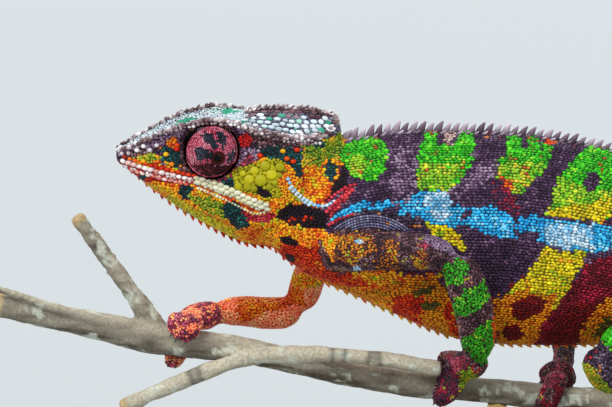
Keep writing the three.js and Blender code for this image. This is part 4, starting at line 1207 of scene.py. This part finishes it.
scale_at, scale_face = rows[:, 0:3], rows[:, 3].astype(int)
scale_kind, scale_size = rows[:, 4].astype(int), rows[:, 5:8].copy()
tree = KDTree(len(scale_at))
for i, place in enumerate(scale_at.tolist()):
    tree.insert(place, i)
tree.balance()
room = np.array([np.mean([far for _, _, far in tree.find_n(place, 6)[1:]]) for place in scale_at.tolist()])
plain = scale_size[:, 0] == 0
room = np.clip(room, 0.45, 1.35) * RNG.uniform(0.94, 1.06, len(room))
scale_size[plain] = np.c_[room * 1.14, room * 1.04, room * 0.26][plain]
in_row = plain & (rows[:, 13] == ROW_GAP)
row_size = np.c_[room * 1.3, np.full(len(room), ROW_DOWN * 1.02), room * 0.26][in_row]
scale_size[in_row] = row_size * RNG.uniform(0.86, 1.08, (in_row.sum(), 1))

scale_out = blended(scale_at, scale_face, skin_normals[skin_quads[scale_face]])
scale_out /= np.linalg.norm(scale_out, axis=1, keepdims=True)
scale_part = part_at(scale_at)
scale_lie = np.tile((1.0, 0.0, 0.0), (len(scale_at), 1))
names = PART_NAMES[scale_part]
STOPS = {"upper_arm": ("root", "bend"), "thigh": ("root", "bend"), "forearm": ("bend", "wrist"),
         "shank": ("bend", "wrist"), "hand": ("wrist", "palm"), "foot": ("wrist", "palm")}
for leg, joint in LEGS.items():
    for part_name, (start, end) in STOPS.items():
        scale_lie[names == f"{leg}_{part_name}"] = np.array(joint[end]) - np.array(joint[start])
on_tail = np.char.startswith(names.astype(str), "tail")
scale_lie[on_tail] = np.gradient(TAIL, axis=0)[nearest_of(scale_at[on_tail], TAIL)]
own_lie = rows[:, 9:12]
scale_lie = np.where(np.abs(own_lie).sum(1, keepdims=True) > 0, own_lie, scale_lie)
scale_lie -= scale_out * (scale_lie * scale_out).sum(1, keepdims=True)
scale_lie /= np.maximum(np.linalg.norm(scale_lie, axis=1, keepdims=True), 1e-6)

dice = RNG.random((len(scale_at), 3))
pigment = pigment_of(scale_at, scale_part, dice[:, 2])
told = rows[:, 8].astype(int)
pigment[told >= 0] = told[told >= 0]
scale_tint = scale_colours(pigment, scale_at, dice)
bright = np.isin(pigment, [NAMES.index(name) for name in "green leaf yellow blue sky moss ember".split()])
proud = plain & bright & (RNG.random(len(plain)) < 0.16)
scale_size[proud] *= (1.22, 1.4, 1.75)
scale_tint[proud] *= 1.15
scale_uv = blended(scale_at, scale_face, SKIN_UV[scale_face])
print("granule breadth in mm:", np.percentile(room, (5, 50, 95)).round(2))

# %% [markdown]
# ## Four scale shapes
# Every scale is one of four closed shapes a unit across: a domed granule, a flat-topped plate, a leaning
# cone and a round bead. Each carries how far up its surface is, which the coat material turns into painted
# shade low on the scale, in the gaps, and a painted highlight at its top, and its patch of the coat's map.

# %% Scale shapes
def lathe_shape(name, sides, rings, lean=0.0, tip_highlight=1.0):
    """A closed shape from rings of (radius, height), lowest first, up to a top point that may lean over; the
    last argument strengthens the painted highlight towards the top.
    """
    points, rise = [], []
    top = rings[-1][1]
    for radius, height in rings[:-1]:
        for k in range(sides):
            turn = 2 * math.pi * (k + 0.5) / sides
            over = lean * max(height, 0) ** 1.6
            points.append((radius * math.cos(turn) + over, radius * math.sin(turn), height))
            # rise is the height up the shape, raised near the top for a stronger painted highlight at the tip
            rise.append(max(height, 0) / top * tip_highlight**height)
    points.append((lean * top, 0, top))
    rise.append(tip_highlight)
    faces = [tuple(range(sides - 1, -1, -1))] + ring_faces(len(rings) - 1, sides)
    mesh = bpy.data.meshes.new(name)
    mesh.from_pydata(points, [], faces)
    mesh.polygons.foreach_set("use_smooth", np.ones(len(faces), bool))
    paint(mesh, "rise", "FLOAT", rise)
    patch = mesh.uv_layers.new(name="patch")
    for loop, spot_uv in zip(mesh.loops, patch.data):
        x, y, _ = points[loop.vertex_index]
        spot_uv.uv = (max(-0.5, min(0.5, x)), max(-0.5, min(0.5, y)))
    return bpy.data.objects.new(name, mesh)


SHAPE_SET = bpy.data.collections.new("scale_shapes")
bpy.context.scene.collection.children.link(SHAPE_SET)
for shape in (lathe_shape("a_granule", 6, [(0.50, -0.25), (0.44, 0.5), (0, 1.0)]),
              lathe_shape("b_plate", 9, [(0.50, -0.35), (0.48, 0.45), (0.36, 0.9), (0, 1.0)]),
              lathe_shape("c_cone", 8, [(0.50, -0.3), (0.45, 0.2), (0.31, 0.62), (0.14, 0.93), (0, 1.0)],
                          lean=0.55, tip_highlight=1.5),
              lathe_shape("d_bead", 8, [(0.50, -0.3), (0.46, 0.4), (0.28, 0.85), (0, 1.0)])):
    SHAPE_SET.objects.link(shape)

# %% [markdown]
# ## Materials
# All colour is painted by attributes or noise in the piece's own space, so it holds from every side.
# Chameleon scales are dry and satin, the eyeball is wet, the perch is weathered dead wood.

# %% Material nodes
def add(tree, kind, sockets=None, **settings):
    """A node with its settings and inputs; an input given as a socket is linked."""
    made = tree.nodes.new(kind)
    for key, value in settings.items():
        setattr(made, key, value)
    for key, value in (sockets or {}).items():
        if isinstance(value, bpy.types.NodeSocket):
            tree.links.new(value, made.inputs[key])
        else:
            made.inputs[key].default_value = value
    return made


def painted(tree):
    """The colour painted on a piece's corners."""
    return add(tree, "ShaderNodeAttribute", attribute_name="tint").outputs["Color"]


def remap(tree, value, span, to, clamp=True):
    """A value's span spread over another."""
    ends = {"From Min": span[0], "From Max": span[1], "To Min": to[0], "To Max": to[1]}
    return add(tree, "ShaderNodeMapRange", {"Value": value, **ends}, clamp=clamp).outputs["Result"]


def scaled(tree, vector, factor):
    """A vector or a colour times a factor."""
    made = add(tree, "ShaderNodeVectorMath", {0: vector, "Scale": factor}, operation="SCALE")
    return made.outputs["Vector"]


def noise(tree, vector, **settings):
    """Noise at a place; settings are its sockets, in lower case."""
    sockets = {key.title(): value for key, value in settings.items()}
    return add(tree, "ShaderNodeTexNoise", {"Vector": vector, **sockets}).outputs["Fac"]


def new_material(name, roughness, specular=0.5):
    """A material with a plain shader; returns it with its tree and shader."""
    made = bpy.data.materials.new(name)
    made.use_nodes = True
    shader = made.node_tree.nodes["Principled BSDF"]
    shader.inputs["Roughness"].default_value = roughness
    shader.inputs["Specular IOR Level"].default_value = specular
    return made, made.node_tree, shader


def coat_material(name, roughness, low, high):
    """Painted colour, with painted shade low on each scale and a painted highlight at its top, and a faint
    mottle.
    """
    made, tree, shader = new_material(name, roughness, 0.17)
    tint = painted(tree)
    rise = add(tree, "ShaderNodeAttribute", attribute_name="rise").outputs["Fac"]
    level = remap(tree, rise, (0.0, 1.0), (low, high), clamp=False)
    where = add(tree, "ShaderNodeTexCoord").outputs["Object"]
    mottle = remap(tree, noise(tree, where, scale=900.0, detail=2.0), (0.3, 0.7), (0.88, 1.12))
    both = add(tree, "ShaderNodeMath", {0: level, 1: mottle}, operation="MULTIPLY")
    tree.links.new(scaled(tree, tint, both.outputs["Value"]), shader.inputs["Base Color"])
    return made


# scales: painted shade down to 0.48 at each foot, a painted highlight up to 1.12 at each top
SCALE_FINISH = coat_material("dry_reptile_scale", 0.36, 0.48, 1.12)   # keratin granules, satin
SKIN_FINISH = coat_material("bare_reptile_skin", 0.62, 1.0, 1.0)      # soft skin between the granules
skin.data.materials.append(SKIN_FINISH)
paint(skin.data, "rise", "FLOAT", np.ones(len(skin_points)))
print("materials:", [made.name for made in bpy.data.materials])

# %% [markdown]
# ## Setting the scales
# Geometry Nodes sets one shape on every point, turned so that its height follows the skin's normal and its
# length the lie, then makes them real. The coat's map places each scale's small patch round its root on the
# skin's own unwrap.

# %% The scale setter
def scale_setter():
    """The node tree that puts a shape on every point and makes the lot one real mesh."""
    tree = bpy.data.node_groups.new("set_scales", "GeometryNodeTree")
    for name, way, kind in (("Points", "INPUT", "Geometry"), ("Shapes", "INPUT", "Collection"),
                            ("Patch Size", "INPUT", "Float"), ("Finish", "INPUT", "Material"),
                            ("Scales", "OUTPUT", "Geometry")):
        tree.interface.new_socket(name, in_out=way, socket_type="NodeSocket" + kind)
    given = add(tree, "NodeGroupInput").outputs

    def named(name, kind="FLOAT_VECTOR"):
        made = add(tree, "GeometryNodeInputNamedAttribute", {"Name": name}, data_type=kind)
        return made.outputs["Attribute"]

    shapes = add(tree, "GeometryNodeCollectionInfo", {
        "Collection": given["Shapes"], "Separate Children": True, "Reset Children": True})
    turn = add(tree, "FunctionNodeAxesToRotation", {
        "Primary Axis": named("out"), "Secondary Axis": named("lie")})
    set_in = add(tree, "GeometryNodeInstanceOnPoints", {
        "Points": given["Points"], "Instance": shapes.outputs[0], "Pick Instance": True,
        "Instance Index": named("kind", "INT"), "Rotation": turn.outputs[0], "Scale": named("size")})
    real = add(tree, "GeometryNodeRealizeInstances", {"Geometry": set_in.outputs[0]})
    patch = scaled(tree, named("patch"), given["Patch Size"])
    spot_uv = add(tree, "ShaderNodeVectorMath", {0: patch, 1: named("root_uv")}, operation="ADD")
    last = add(tree, "GeometryNodeStoreNamedAttribute", {
        "Geometry": real.outputs[0], "Name": "OFBake", "Value": spot_uv.outputs[0]},
        data_type="FLOAT2", domain="CORNER").outputs[0]
    for spent in ("out", "lie", "size", "kind", "root_uv", "patch"):
        last = add(tree, "GeometryNodeRemoveAttribute", {"Geometry": last, "Name": spent}).outputs[0]
    finished = add(tree, "GeometryNodeSetMaterial", {"Geometry": last, "Material": given["Finish"]})
    add(tree, "NodeGroupOutput", {0: finished.outputs[0]})
    return tree


SETTER = scale_setter()
PATCH = 0.003                       # breadth of each scale's patch on the map


def plain_mesh(thing, name):
    """A new plain mesh object from what an object's modifiers make."""
    graph = bpy.context.evaluated_depsgraph_get()
    mesh = bpy.data.meshes.new_from_object(
        thing.evaluated_get(graph), preserve_all_data_layers=True, depsgraph=graph)
    mesh.name = name
    made = placed(name, mesh)
    bpy.data.objects.remove(thing)
    return made


def set_scales(name, at, out, lie, size, kind, tint, uv, finish, slot):
    """One coat piece: points with attributes go in, a plain mesh of solid scales comes out."""
    mesh = bpy.data.meshes.new(name + "_roots")
    mesh.vertices.add(len(at))
    mesh.vertices.foreach_set("co", (at * MM).astype(np.float32).ravel())
    flat_uv = np.c_[uv, np.zeros(len(uv))]
    for key, values in (("out", out), ("lie", lie), ("size", size * MM), ("root_uv", flat_uv)):
        paint(mesh, key, "FLOAT_VECTOR", values)
    paint(mesh, "kind", "INT", kind)
    paint(mesh, "tint", "FLOAT_COLOR", tint)
    roots = placed(name + "_roots", mesh)
    modifier = roots.modifiers.new("set", "NODES")
    modifier.node_group = SETTER
    sockets = {item.name: item.identifier for item in SETTER.interface.items_tree if item.in_out == "INPUT"}
    modifier[sockets["Shapes"]] = SHAPE_SET
    modifier[sockets["Patch Size"]] = PATCH
    modifier[sockets["Finish"]] = finish
    piece = plain_mesh(roots, name)
    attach(piece, "root")
    return piece


def region_names():
    """The coat piece each scale belongs to."""
    region = np.full(len(scale_at), "scales_trunk_front", dtype=object)
    x = scale_at[:, 0]
    region[x > -14] = "scales_trunk_middle"
    region[x > 22] = "scales_trunk_rear"
    region[names == "neck"] = "scales_neck"
    head = names == "head"
    region[head & (x < -82)] = "scales_head_front"
    region[head & (x >= -82)] = "scales_head_back"
    for leg in LEGS:
        region[np.char.startswith(names.astype(str), leg)] = "scales_" + leg
    region[on_tail] = "scales_tail"
    return region


region = region_names()
total = 0
for name in sorted(set(region)):
    mine = region == name
    given = (scale_at, scale_out, scale_lie, scale_size, scale_kind, scale_tint, scale_uv)
    piece = set_scales(name, *(values[mine] for values in given), SCALE_FINISH, "skin")
    triangles = sum(len(p.vertices) - 2 for p in piece.data.polygons)
    total += triangles
    print(f"{name}: {mine.sum()} scales, {triangles} triangles")
print("coat triangles:", total)

# %% [markdown]
# ## Eye turrets
# A chameleon's lids are fused into one cone of skin that turns with the eye and leaves a small round
# opening. The turret is a closed ball of skin, set with rings of very fine granules, and the wet eyeball
# looks out of its front.

# %% Turrets, lids and eyeballs
# the dark area over the turret's lower part is painted shade on its underside
TURRET_MARKS = marks_from("""
eye_red spot 1 -23.9,13.4 9,9
eye_slate area 0.9 -26,17.4 -25.1,17.9 -24,17.6 -23.5,16.7 -22.9,15.6 -22.3,14.3 -22.2,13.2 -23.2,13.4
  -24,14.6 -25,15.5 -25.8,16.3
eye_slate area 0.9 -22.5,18.2 -21.4,18.3 -20.4,17.6 -19.6,16.8 -19.7,15.6 -20,14.6 -20,13.4 -20.8,12.9
  -21.2,13.7 -21.4,14.8 -22,15.9 -22.3,17
eye_slate area 1 -27.5,14 -26.7,14.3 -25.8,13.8 -24.7,13.5 -23.5,13.1 -22.8,12.1 -23.2,11.1 -24.4,10.5
  -25.4,10.8 -26.3,10 -27.3,10.2 -27.9,11.2 -27.8,12.8
eye_slate area 0.9 -19.7,12.6 -18.7,13.7 -17.9,13.4 -17.7,12.1 -18.2,10.8 -19.2,10.2 -20,10.5 -20.2,11.8
eye_dark area 0.8 -28.1,9.6 -25.4,10.1 -23.9,10.6 -22.3,9.6 -20.8,9.5 -19.5,9.2 -18.2,9.9 -19,8.4 -21.1,7.1
  -23.9,6.8 -26.1,7.6 -27.5,8.7
""")
OPENING = math.radians(14.0)        # half angle of the lid's opening, seen from the turret's middle
IRIS_AT = (-23.8, 13.4)             # the opening on the side plate


def axes_about(way):
    """Two unit vectors square to a unit vector."""
    first = np.cross(way, (0, 0, 1))
    first /= np.linalg.norm(first)
    return first, np.cross(way, first)


def revolved(name, centre, way, profile, sides, paint):
    """A closed shape turned about an axis; the profile runs from axis to axis as (along, out)."""
    first, second = axes_about(way)
    points = [centre + way * profile[0][0]]
    for along, out in profile[1:-1]:
        turn = np.arange(sides) * 2 * math.pi / sides
        ring = np.outer(np.cos(turn), first) + np.outer(np.sin(turn), second)
        points += list(centre + way * along + out * ring)
    points.append(centre + way * profile[-1][0])
    faces = [(0, 1 + (k + 1) % sides, 1 + k) for k in range(sides)] + ring_faces(len(profile) - 2, sides, 1)
    return make_mesh(name, np.array(points), faces, paint(np.array(points)))


def lid_reach(angle):
    """The turret swells a little round the opening and narrows inside the head."""
    neck = np.interp(np.degrees(angle), (84, 112), (0, 1.5))
    return EYE["radius"] - 0.32 + 0.42 * np.exp(-((angle - OPENING) / math.radians(24)) ** 2) - neck


def lid_pigment(points, ragged):
    """The pigment of every point on a turret."""
    pigment = np.full(len(points), NAMES.index("eye_red"))
    lay(pigment, points, plate(points, np.ones(len(points))), TURRET_MARKS, ragged)
    return pigment


EYE_FINISH, tree, shader = new_material("wet_eye", 0.1, 0.12)         # tear film over a dark iris
tree.links.new(painted(tree), shader.inputs["Base Color"])
# lid granules: painted shade down to 0.45 at each foot, a painted highlight up to 1.15 at each top
LID_FINISH = coat_material("fine_lid_granules", 0.5, 0.45, 1.15)      # thin dry skin, finer than the body's

for side, centre in EYE_AT.items():
    gaze = np.array(GAZE[side]) / np.linalg.norm(GAZE[side])
    first, second = axes_about(gaze)

    angles = np.radians(np.r_[np.arange(14, 40, 2.0), np.arange(40, 178, 4.0)])
    profile = [(4.4, 0), (4.9, 1.0), (6.0, 1.35), (6.62, 1.52)]
    profile += [(lid_reach(a) * math.cos(a), lid_reach(a) * math.sin(a)) for a in angles]
    profile.append((-(EYE["radius"] - 1.82), 0))
    turret = revolved(f"eye_{side}_turret", centre, gaze, profile[::-1], 72,
                      lambda p: GROUNDS[lid_pigment(p, np.full(len(p), 0.5))] * 1.3)
    paint(turret.data, "rise", "FLOAT", np.full(len(turret.data.vertices), 0.8))
    turret.data.materials.append(LID_FINISH)
    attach(turret, "root")
    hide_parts(f"eye_{side}")

    at, out, lie, size = [], [], [], []
    angle, number = OPENING + math.radians(3.2), 0
    while angle < math.radians(112):
        pitch = float(np.interp(angle, (0.25, 0.8, 1.6), (0.36, 0.46, 0.56)))
        reach = lid_reach(angle)
        count = round(2 * math.pi * reach * math.sin(angle) / (pitch * 1.12))
        turn = (np.arange(count) + 0.5 * (number % 2)) * 2 * math.pi / count
        ring = np.outer(np.cos(turn), first) + np.outer(np.sin(turn), second)
        facing = gaze * math.cos(angle) + ring * math.sin(angle)
        at.append(centre + facing * (reach - 0.02))
        out.append(facing)
        lie.append(np.cross(facing, gaze))
        groove = 0.6 if number % 4 == 3 else 1.0
        granule = (pitch * 1.14, pitch * 0.86, 0.24 * groove)
        size.append(np.tile(granule, (count, 1)) * RNG.uniform(0.9, 1.08, (count, 1)))
        angle, number = angle + pitch * 0.92 / reach, number + 1
    at, out, lie, size = (np.vstack(v) for v in (at, out, lie, size))
    dice = RNG.random((len(at), 3))
    tint = scale_colours(lid_pigment(at, dice[:, 2]), at, dice)
    off_gaze = np.arccos(np.clip(out @ gaze, -1, 1))[:, None]
    # a dark ring where the turret sinks into the head: painted shade in the socket's crease
    crease_shade = np.exp(-((np.degrees(off_gaze) - 94) / 9) ** 2)
    tint = tint * (1 - crease_shade) + linear("#20101c") * crease_shade
    out_from = np.linalg.norm(plate(at, np.ones(len(at))) - IRIS_AT, axis=1)
    # painted shade in the grooves between the lid's folds
    ring = sum(depth * np.exp(-((out_from - reach) / 0.17) ** 2)
               for reach, depth in ((6.1, 0.9), (5.35, 0.45), (4.7, 0.55), (3.9, 0.3)))
    tint *= (1 - np.clip(ring, 0, 0.9))[:, None]
    # the ball peeled open from the gaze
    uv = 0.5 + np.c_[out @ first, out @ second] / np.sin(off_gaze) * off_gaze / 4.4
    kind = np.full(len(at), GRANULE)
    set_scales(f"eye_{side}_granules", at, out, lie, size, kind, tint, uv, LID_FINISH, "eye_turret")

    ball = 2.0
    profile = [(4.75 + ball * math.cos(a), ball * math.sin(a)) for a in np.radians(np.linspace(180, 0, 25))]

    def iris(points):
        """A black pupil inside a narrow brown ring."""
        off = np.linalg.norm(np.cross(points - centre, gaze), axis=1)
        colour = np.tile(linear("#030203"), (len(points), 1))
        colour[(off > 1.0) & (off < 1.5)] = linear("#5a2410")
        return colour

    eyeball = revolved(f"eyeball_{side}_wet", centre, gaze, profile, 48, iris)
    eyeball.data.materials.append(EYE_FINISH)
    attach(eyeball, "root")
    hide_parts(f"eyeball_{side}")
    print(side, "turret granules:", len(at))

for shape in list(SHAPE_SET.objects):
    bpy.data.objects.remove(shape)
bpy.data.collections.remove(SHAPE_SET)

# %% [markdown]
# ## Claws
# Each fused bundle of two or three toes ends in curved claws that press on the bark. Each claw is a bent
# horn cone.

# %% Claws
CLAWS = [  # foot bundle: first claw, step to the next, count, way, middle of the perch
    ((-29.9, -4.4, 49.9), (2.8, 0, -0.1), 2, (-0.58, 0.24, -0.78), (-23, 0, 53.7)),
    ((-31.3, 3.4, 49.1), (2.8, 0, -0.15), 3, (-0.51, -0.41, -0.76), (-23, 0, 53.7)),
    ((-96.5, -6.2, 67.3), (2.8, 0.05, -0.05), 3, (-0.55, -0.58, -0.6), (-90.5, 0, 65.1)),
    ((-96.6, 0.3, 58.7), (2.8, 0, -0.1), 2, (-0.3, -0.81, -0.51), (-90.5, 0, 65.1)),
    ((19.5, -2, 44.1), (2.8, 0, -0.2), 3, (-0.22, 0.57, -0.79), (24, 0.4, 49.2)),
    ((23.3, 2.8, 43.8), (2.8, 0, -0.2), 2, (0.04, -0.57, -0.82), (24, 0.4, 49.2)),
    ((-4.7, -3.5, 46.8), (2.8, 0.1, -0.3), 2, (-0.55, 0.4, -0.73), (2.5, 0.1, 51)),
    ((-1.1, 2.4, 45.9), (2.8, 0.05, -0.3), 3, (-0.15, -0.57, -0.81), (2.5, 0.1, 51)),
]


def claw(seat, way, inward):
    """Corners and faces of one horn, bent towards a point."""
    first, second = axes_about(way)
    bend = inward / np.linalg.norm(inward)
    points, sides, steps = [], 8, 6
    for step in range(steps):
        share = step / steps
        radius = 0.6 * (1 - share) ** 0.8
        spine = seat + way * (3.0 * share - 1.4) + bend * 0.7 * share**2
        for k in range(sides):
            turn = 2 * math.pi * k / sides
            points.append(spine + radius * (math.cos(turn) * first + math.sin(turn) * second))
    points.append(seat + way * 1.6 + bend * 0.7)
    return points, [tuple(range(sides - 1, -1, -1))] + ring_faces(steps, sides)


corners, faces, shade = [], [], []
for seat, step, count, way, middle in CLAWS:
    way = np.array(way) / np.linalg.norm(way)
    for k in range(count):
        at = settle([np.array(seat) + np.array(step) * k])[0][0]
        points, sheet = claw(at, way, np.array(middle) - at)
        faces += [tuple(i + len(corners) for i in face) for face in sheet]
        corners += points
        shade += [0.9] * (len(points) // 2) + [0.5] * (len(points) - len(points) // 2)
horn = linear("#6a5a52") * np.array(shade)[:, None]
claws = make_mesh("claws", np.array(corners), faces, horn)
HORN, tree, shader = new_material("dark_horn", 0.3)                   # keratin claws, polished by the bark
tree.links.new(painted(tree), shader.inputs["Base Color"])
claws.data.materials.append(HORN)
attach(claws, "root")
print("claws:", sum(row[2] for row in CLAWS))

# %% [markdown]
# ## The perch
# A dead branch with a thinner shoot grafted beside it. It is cast from the CAD perch's distance field like
# the skin, then its surface is roughened with long bark furrows, lichen crusts and rings on the cut ends.

# %% Bark
PERCH_CELL = 0.6
PERCH_FROM = np.floor(np.array([-145, -16, 40]) / PERCH_CELL).astype(int)
PERCH_SIZE = np.ceil(np.array([195, 28, 64]) / PERCH_CELL).astype(int)
wood = smoothed(distance_of("perch", PERCH_CELL, PERCH_FROM, PERCH_SIZE), 2) + 0.12
wood_points, wood_quads = main_shell(*mesh_field(wood, PERCH_CELL, PERCH_FROM))
wood_normals = corner_normals(wood_points, wood_quads)
ENDS = [((-140, 0, 75.4), 4.2), ((44, 0, 48), 4.2), ((-107.5, -8, 50.4), 3.0), ((-119, 3, 97.5), 3.0),
        ((-139.5, -3.4, 80.5), 2.0)]    # middle and radius of each cut end
SHOOT = numbers("-107,50.4 -88.5,58.6 -70.5,63.6 -52.8,63.6 -27,60")     # x and height along the pale shoot
at_end = np.zeros(len(wood_points))
for place, radius in ENDS:
    far = np.linalg.norm(wood_points - np.array(place), axis=1)
    at_end = np.maximum(at_end, np.clip((radius - far) / 0.6 + 0.5, 0, 1))
long_grain = wood_points * np.array([0.22, 1.0, 1.0])
relief = 0.22 * wobble(long_grain, 0.9, 51) + 0.22 * wobble(wood_points, 4.0, 52)
relief = relief + 0.1 * wobble(long_grain, 0.5, 53)
rings = np.zeros(len(wood_points))
for place in [(-52.8, -6.2, 63.6), (-88.5, -7, 58.6), (-96, 0, 66), (-44, -6.5, 62.5)]:
    off = np.abs(np.linalg.norm(wood_points - np.array(place), axis=1) - 2.4)
    rings = np.maximum(rings, np.exp(-(off / 0.5) ** 2))
wood_points = wood_points + wood_normals * ((relief * (1 - at_end)) - 0.1 * rings)[:, None]

upward = wood_normals[:, 2]
is_shoot = (edge_distance(wood_points[:, [0, 2]], SHOOT) < 4) & (wood_points[:, 1] < -3.2)
grey, shadow, pale, lichen = (linear(c) for c in ("#8d8573", "#4c4234", "#c3b9a0", "#c9cdbb"))
mix = np.clip(0.5 + 0.9 * wobble(long_grain, 1.3, 54), 0, 1)[:, None]
colour = shadow * (1 - mix) + grey * mix
light = np.clip(0.25 + 0.75 * upward + 0.5 * wobble(wood_points, 5, 55), 0, 1)[:, None]
colour = colour * (1 - 0.6 * light) + pale * 0.6 * light
colour = np.where(is_shoot[:, None], colour * 0.35 + linear("#c9bfa6") * 0.65, colour)
crust = np.clip((wobble(wood_points, 3.2, 56) + 0.5 * wobble(wood_points, 1.0, 57) - 0.35) * 5, 0, 1)[:, None]
colour = colour * (1 - 0.75 * crust) + lichen * 0.75 * crust
colour = colour * (1 - 0.6 * rings[:, None])
growth = np.zeros(len(wood_points))
for place, radius in ENDS:
    far = np.linalg.norm((wood_points - np.array(place)) * np.array([0.3, 1, 1]), axis=1)
    growth = np.where(np.linalg.norm(wood_points - np.array(place), axis=1) < radius, np.sin(far * 7), growth)
cut_colour = linear("#c4a878") * (0.85 + 0.12 * growth)[:, None]
colour = colour * (1 - at_end[:, None]) + cut_colour * at_end[:, None]

perch = make_mesh("perch_bark", wood_points, wood_quads, colour)
BARK, tree, shader = new_material("weathered_dead_wood", 0.78)        # grey bark, dry and matt
where = add(tree, "ShaderNodeTexCoord").outputs["Object"]
fine = noise(tree, where, scale=1400.0, detail=5.0, roughness=0.65)
level = remap(tree, fine, (0.3, 0.7), (0.62, 1.25))
tree.links.new(scaled(tree, painted(tree), level), shader.inputs["Base Color"])
bump = add(tree, "ShaderNodeBump", {"Height": fine, "Strength": 0.5, "Distance": 0.0003})
tree.links.new(bump.outputs["Normal"], shader.inputs["Normal"])
perch.data.materials.append(BARK)
unwrap(perch)
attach(perch, "root")
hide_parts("perch")
print("perch triangles:", len(wood_quads) * 2)

# %% [markdown]
# ## The display stand
# The stand is the CAD's own wooden base, given grain in its own space, and two brass rods that carry the
# perch.

# %% Stand finishes
WALNUT, tree, shader = new_material("oiled_walnut", 0.38)             # a turned and oiled museum base
where = add(tree, "ShaderNodeTexCoord").outputs["Object"]
long_way = add(tree, "ShaderNodeMapping", {"Vector": where, "Scale": (8.0, 90.0, 90.0)})
grain = noise(tree, long_way.outputs["Vector"], scale=2.2, detail=6.0, distortion=0.6)
ramp = add(tree, "ShaderNodeValToRGB", {"Fac": grain})
for stop, (position, code) in zip(ramp.color_ramp.elements, ((0.32, "#2e1a10"), (0.70, "#6a4328"))):
    stop.position, stop.color = position, (*linear(code), 1)
tree.links.new(ramp.outputs["Color"], shader.inputs["Base Color"])
BRASS, tree, shader = new_material("satin_brass", 0.28)               # lacquered brass rod
shader.inputs["Metallic"].default_value = 1.0
shader.inputs["Base Color"].default_value = (*linear("#c9a45c"), 1)
for name, finish in (("stand_base", WALNUT), ("stand_rod_front", BRASS), ("stand_rod_back", BRASS)):
    solid = frame["nodes"][name].data
    solid.materials.clear()
    solid.materials.append(finish)
print("stand finishes:", WALNUT.name, BRASS.name)

# %% [markdown]
# ## Studio
# A pale floor that runs far back, and three wide suns that shade softly: the key from the upper left in
# front, a weak fill from the right and one from behind. A pale sky lights the rest.

# %% Floor, lights and camera
bpy.ops.mesh.primitive_plane_add(size=90, location=(0, 0, 0))
floor = bpy.context.object
floor.name = "floor"
PAPER, tree, shader = new_material("pale_studio_paper", 0.9)          # matt background paper
shader.inputs["Base Color"].default_value = (*linear("#b6bab9"), 1)
floor.data.materials.append(PAPER)

world = bpy.data.worlds.new("studio")
world.use_nodes = True
sky = world.node_tree.nodes["Background"].inputs
sky["Color"].default_value, sky["Strength"].default_value = (0.86, 0.92, 1.0, 1), 0.80
bpy.context.scene.world = world
AIM = Vector((-0.04, 0, 0.09))      # middle of the animal
for name, place, breadth, power in (("key", (-0.5, -0.7, 1.0), 32, 1.95),
                                    ("fill", (0.75, -0.6, 0.4), 50, 0.35),
                                    ("back", (0.1, 0.8, 0.9), 45, 1.1)):
    light = bpy.data.lights.new(name, "SUN")
    light.energy, light.angle = power, math.radians(breadth)
    lamp = placed(name, light)
    lamp.location = place
    lamp.rotation_euler = (AIM - Vector(place)).to_track_quat("-Z", "Y").to_euler()

SENSOR, VIEW_BREADTH = 36, 153      # of the camera, and of what it sees at the side plate
camera = placed("camera", bpy.data.cameras.new("camera"))
camera.location = (-0.061, -0.6 * math.cos(PLATE_TILT), 0.1009 + 0.6 * math.sin(PLATE_TILT))
camera.rotation_euler = (math.pi / 2 - PLATE_TILT, 0, 0)
camera.data.lens, camera.data.sensor_width = SENSOR * PLATE_FAR / VIEW_BREADTH, SENSOR
camera.data.clip_start, camera.data.clip_end = 0.01, 150
bpy.context.scene.camera = camera
bpy.context.scene.view_settings.view_transform = "Standard"

print("lens in mm:", round(camera.data.lens, 1))
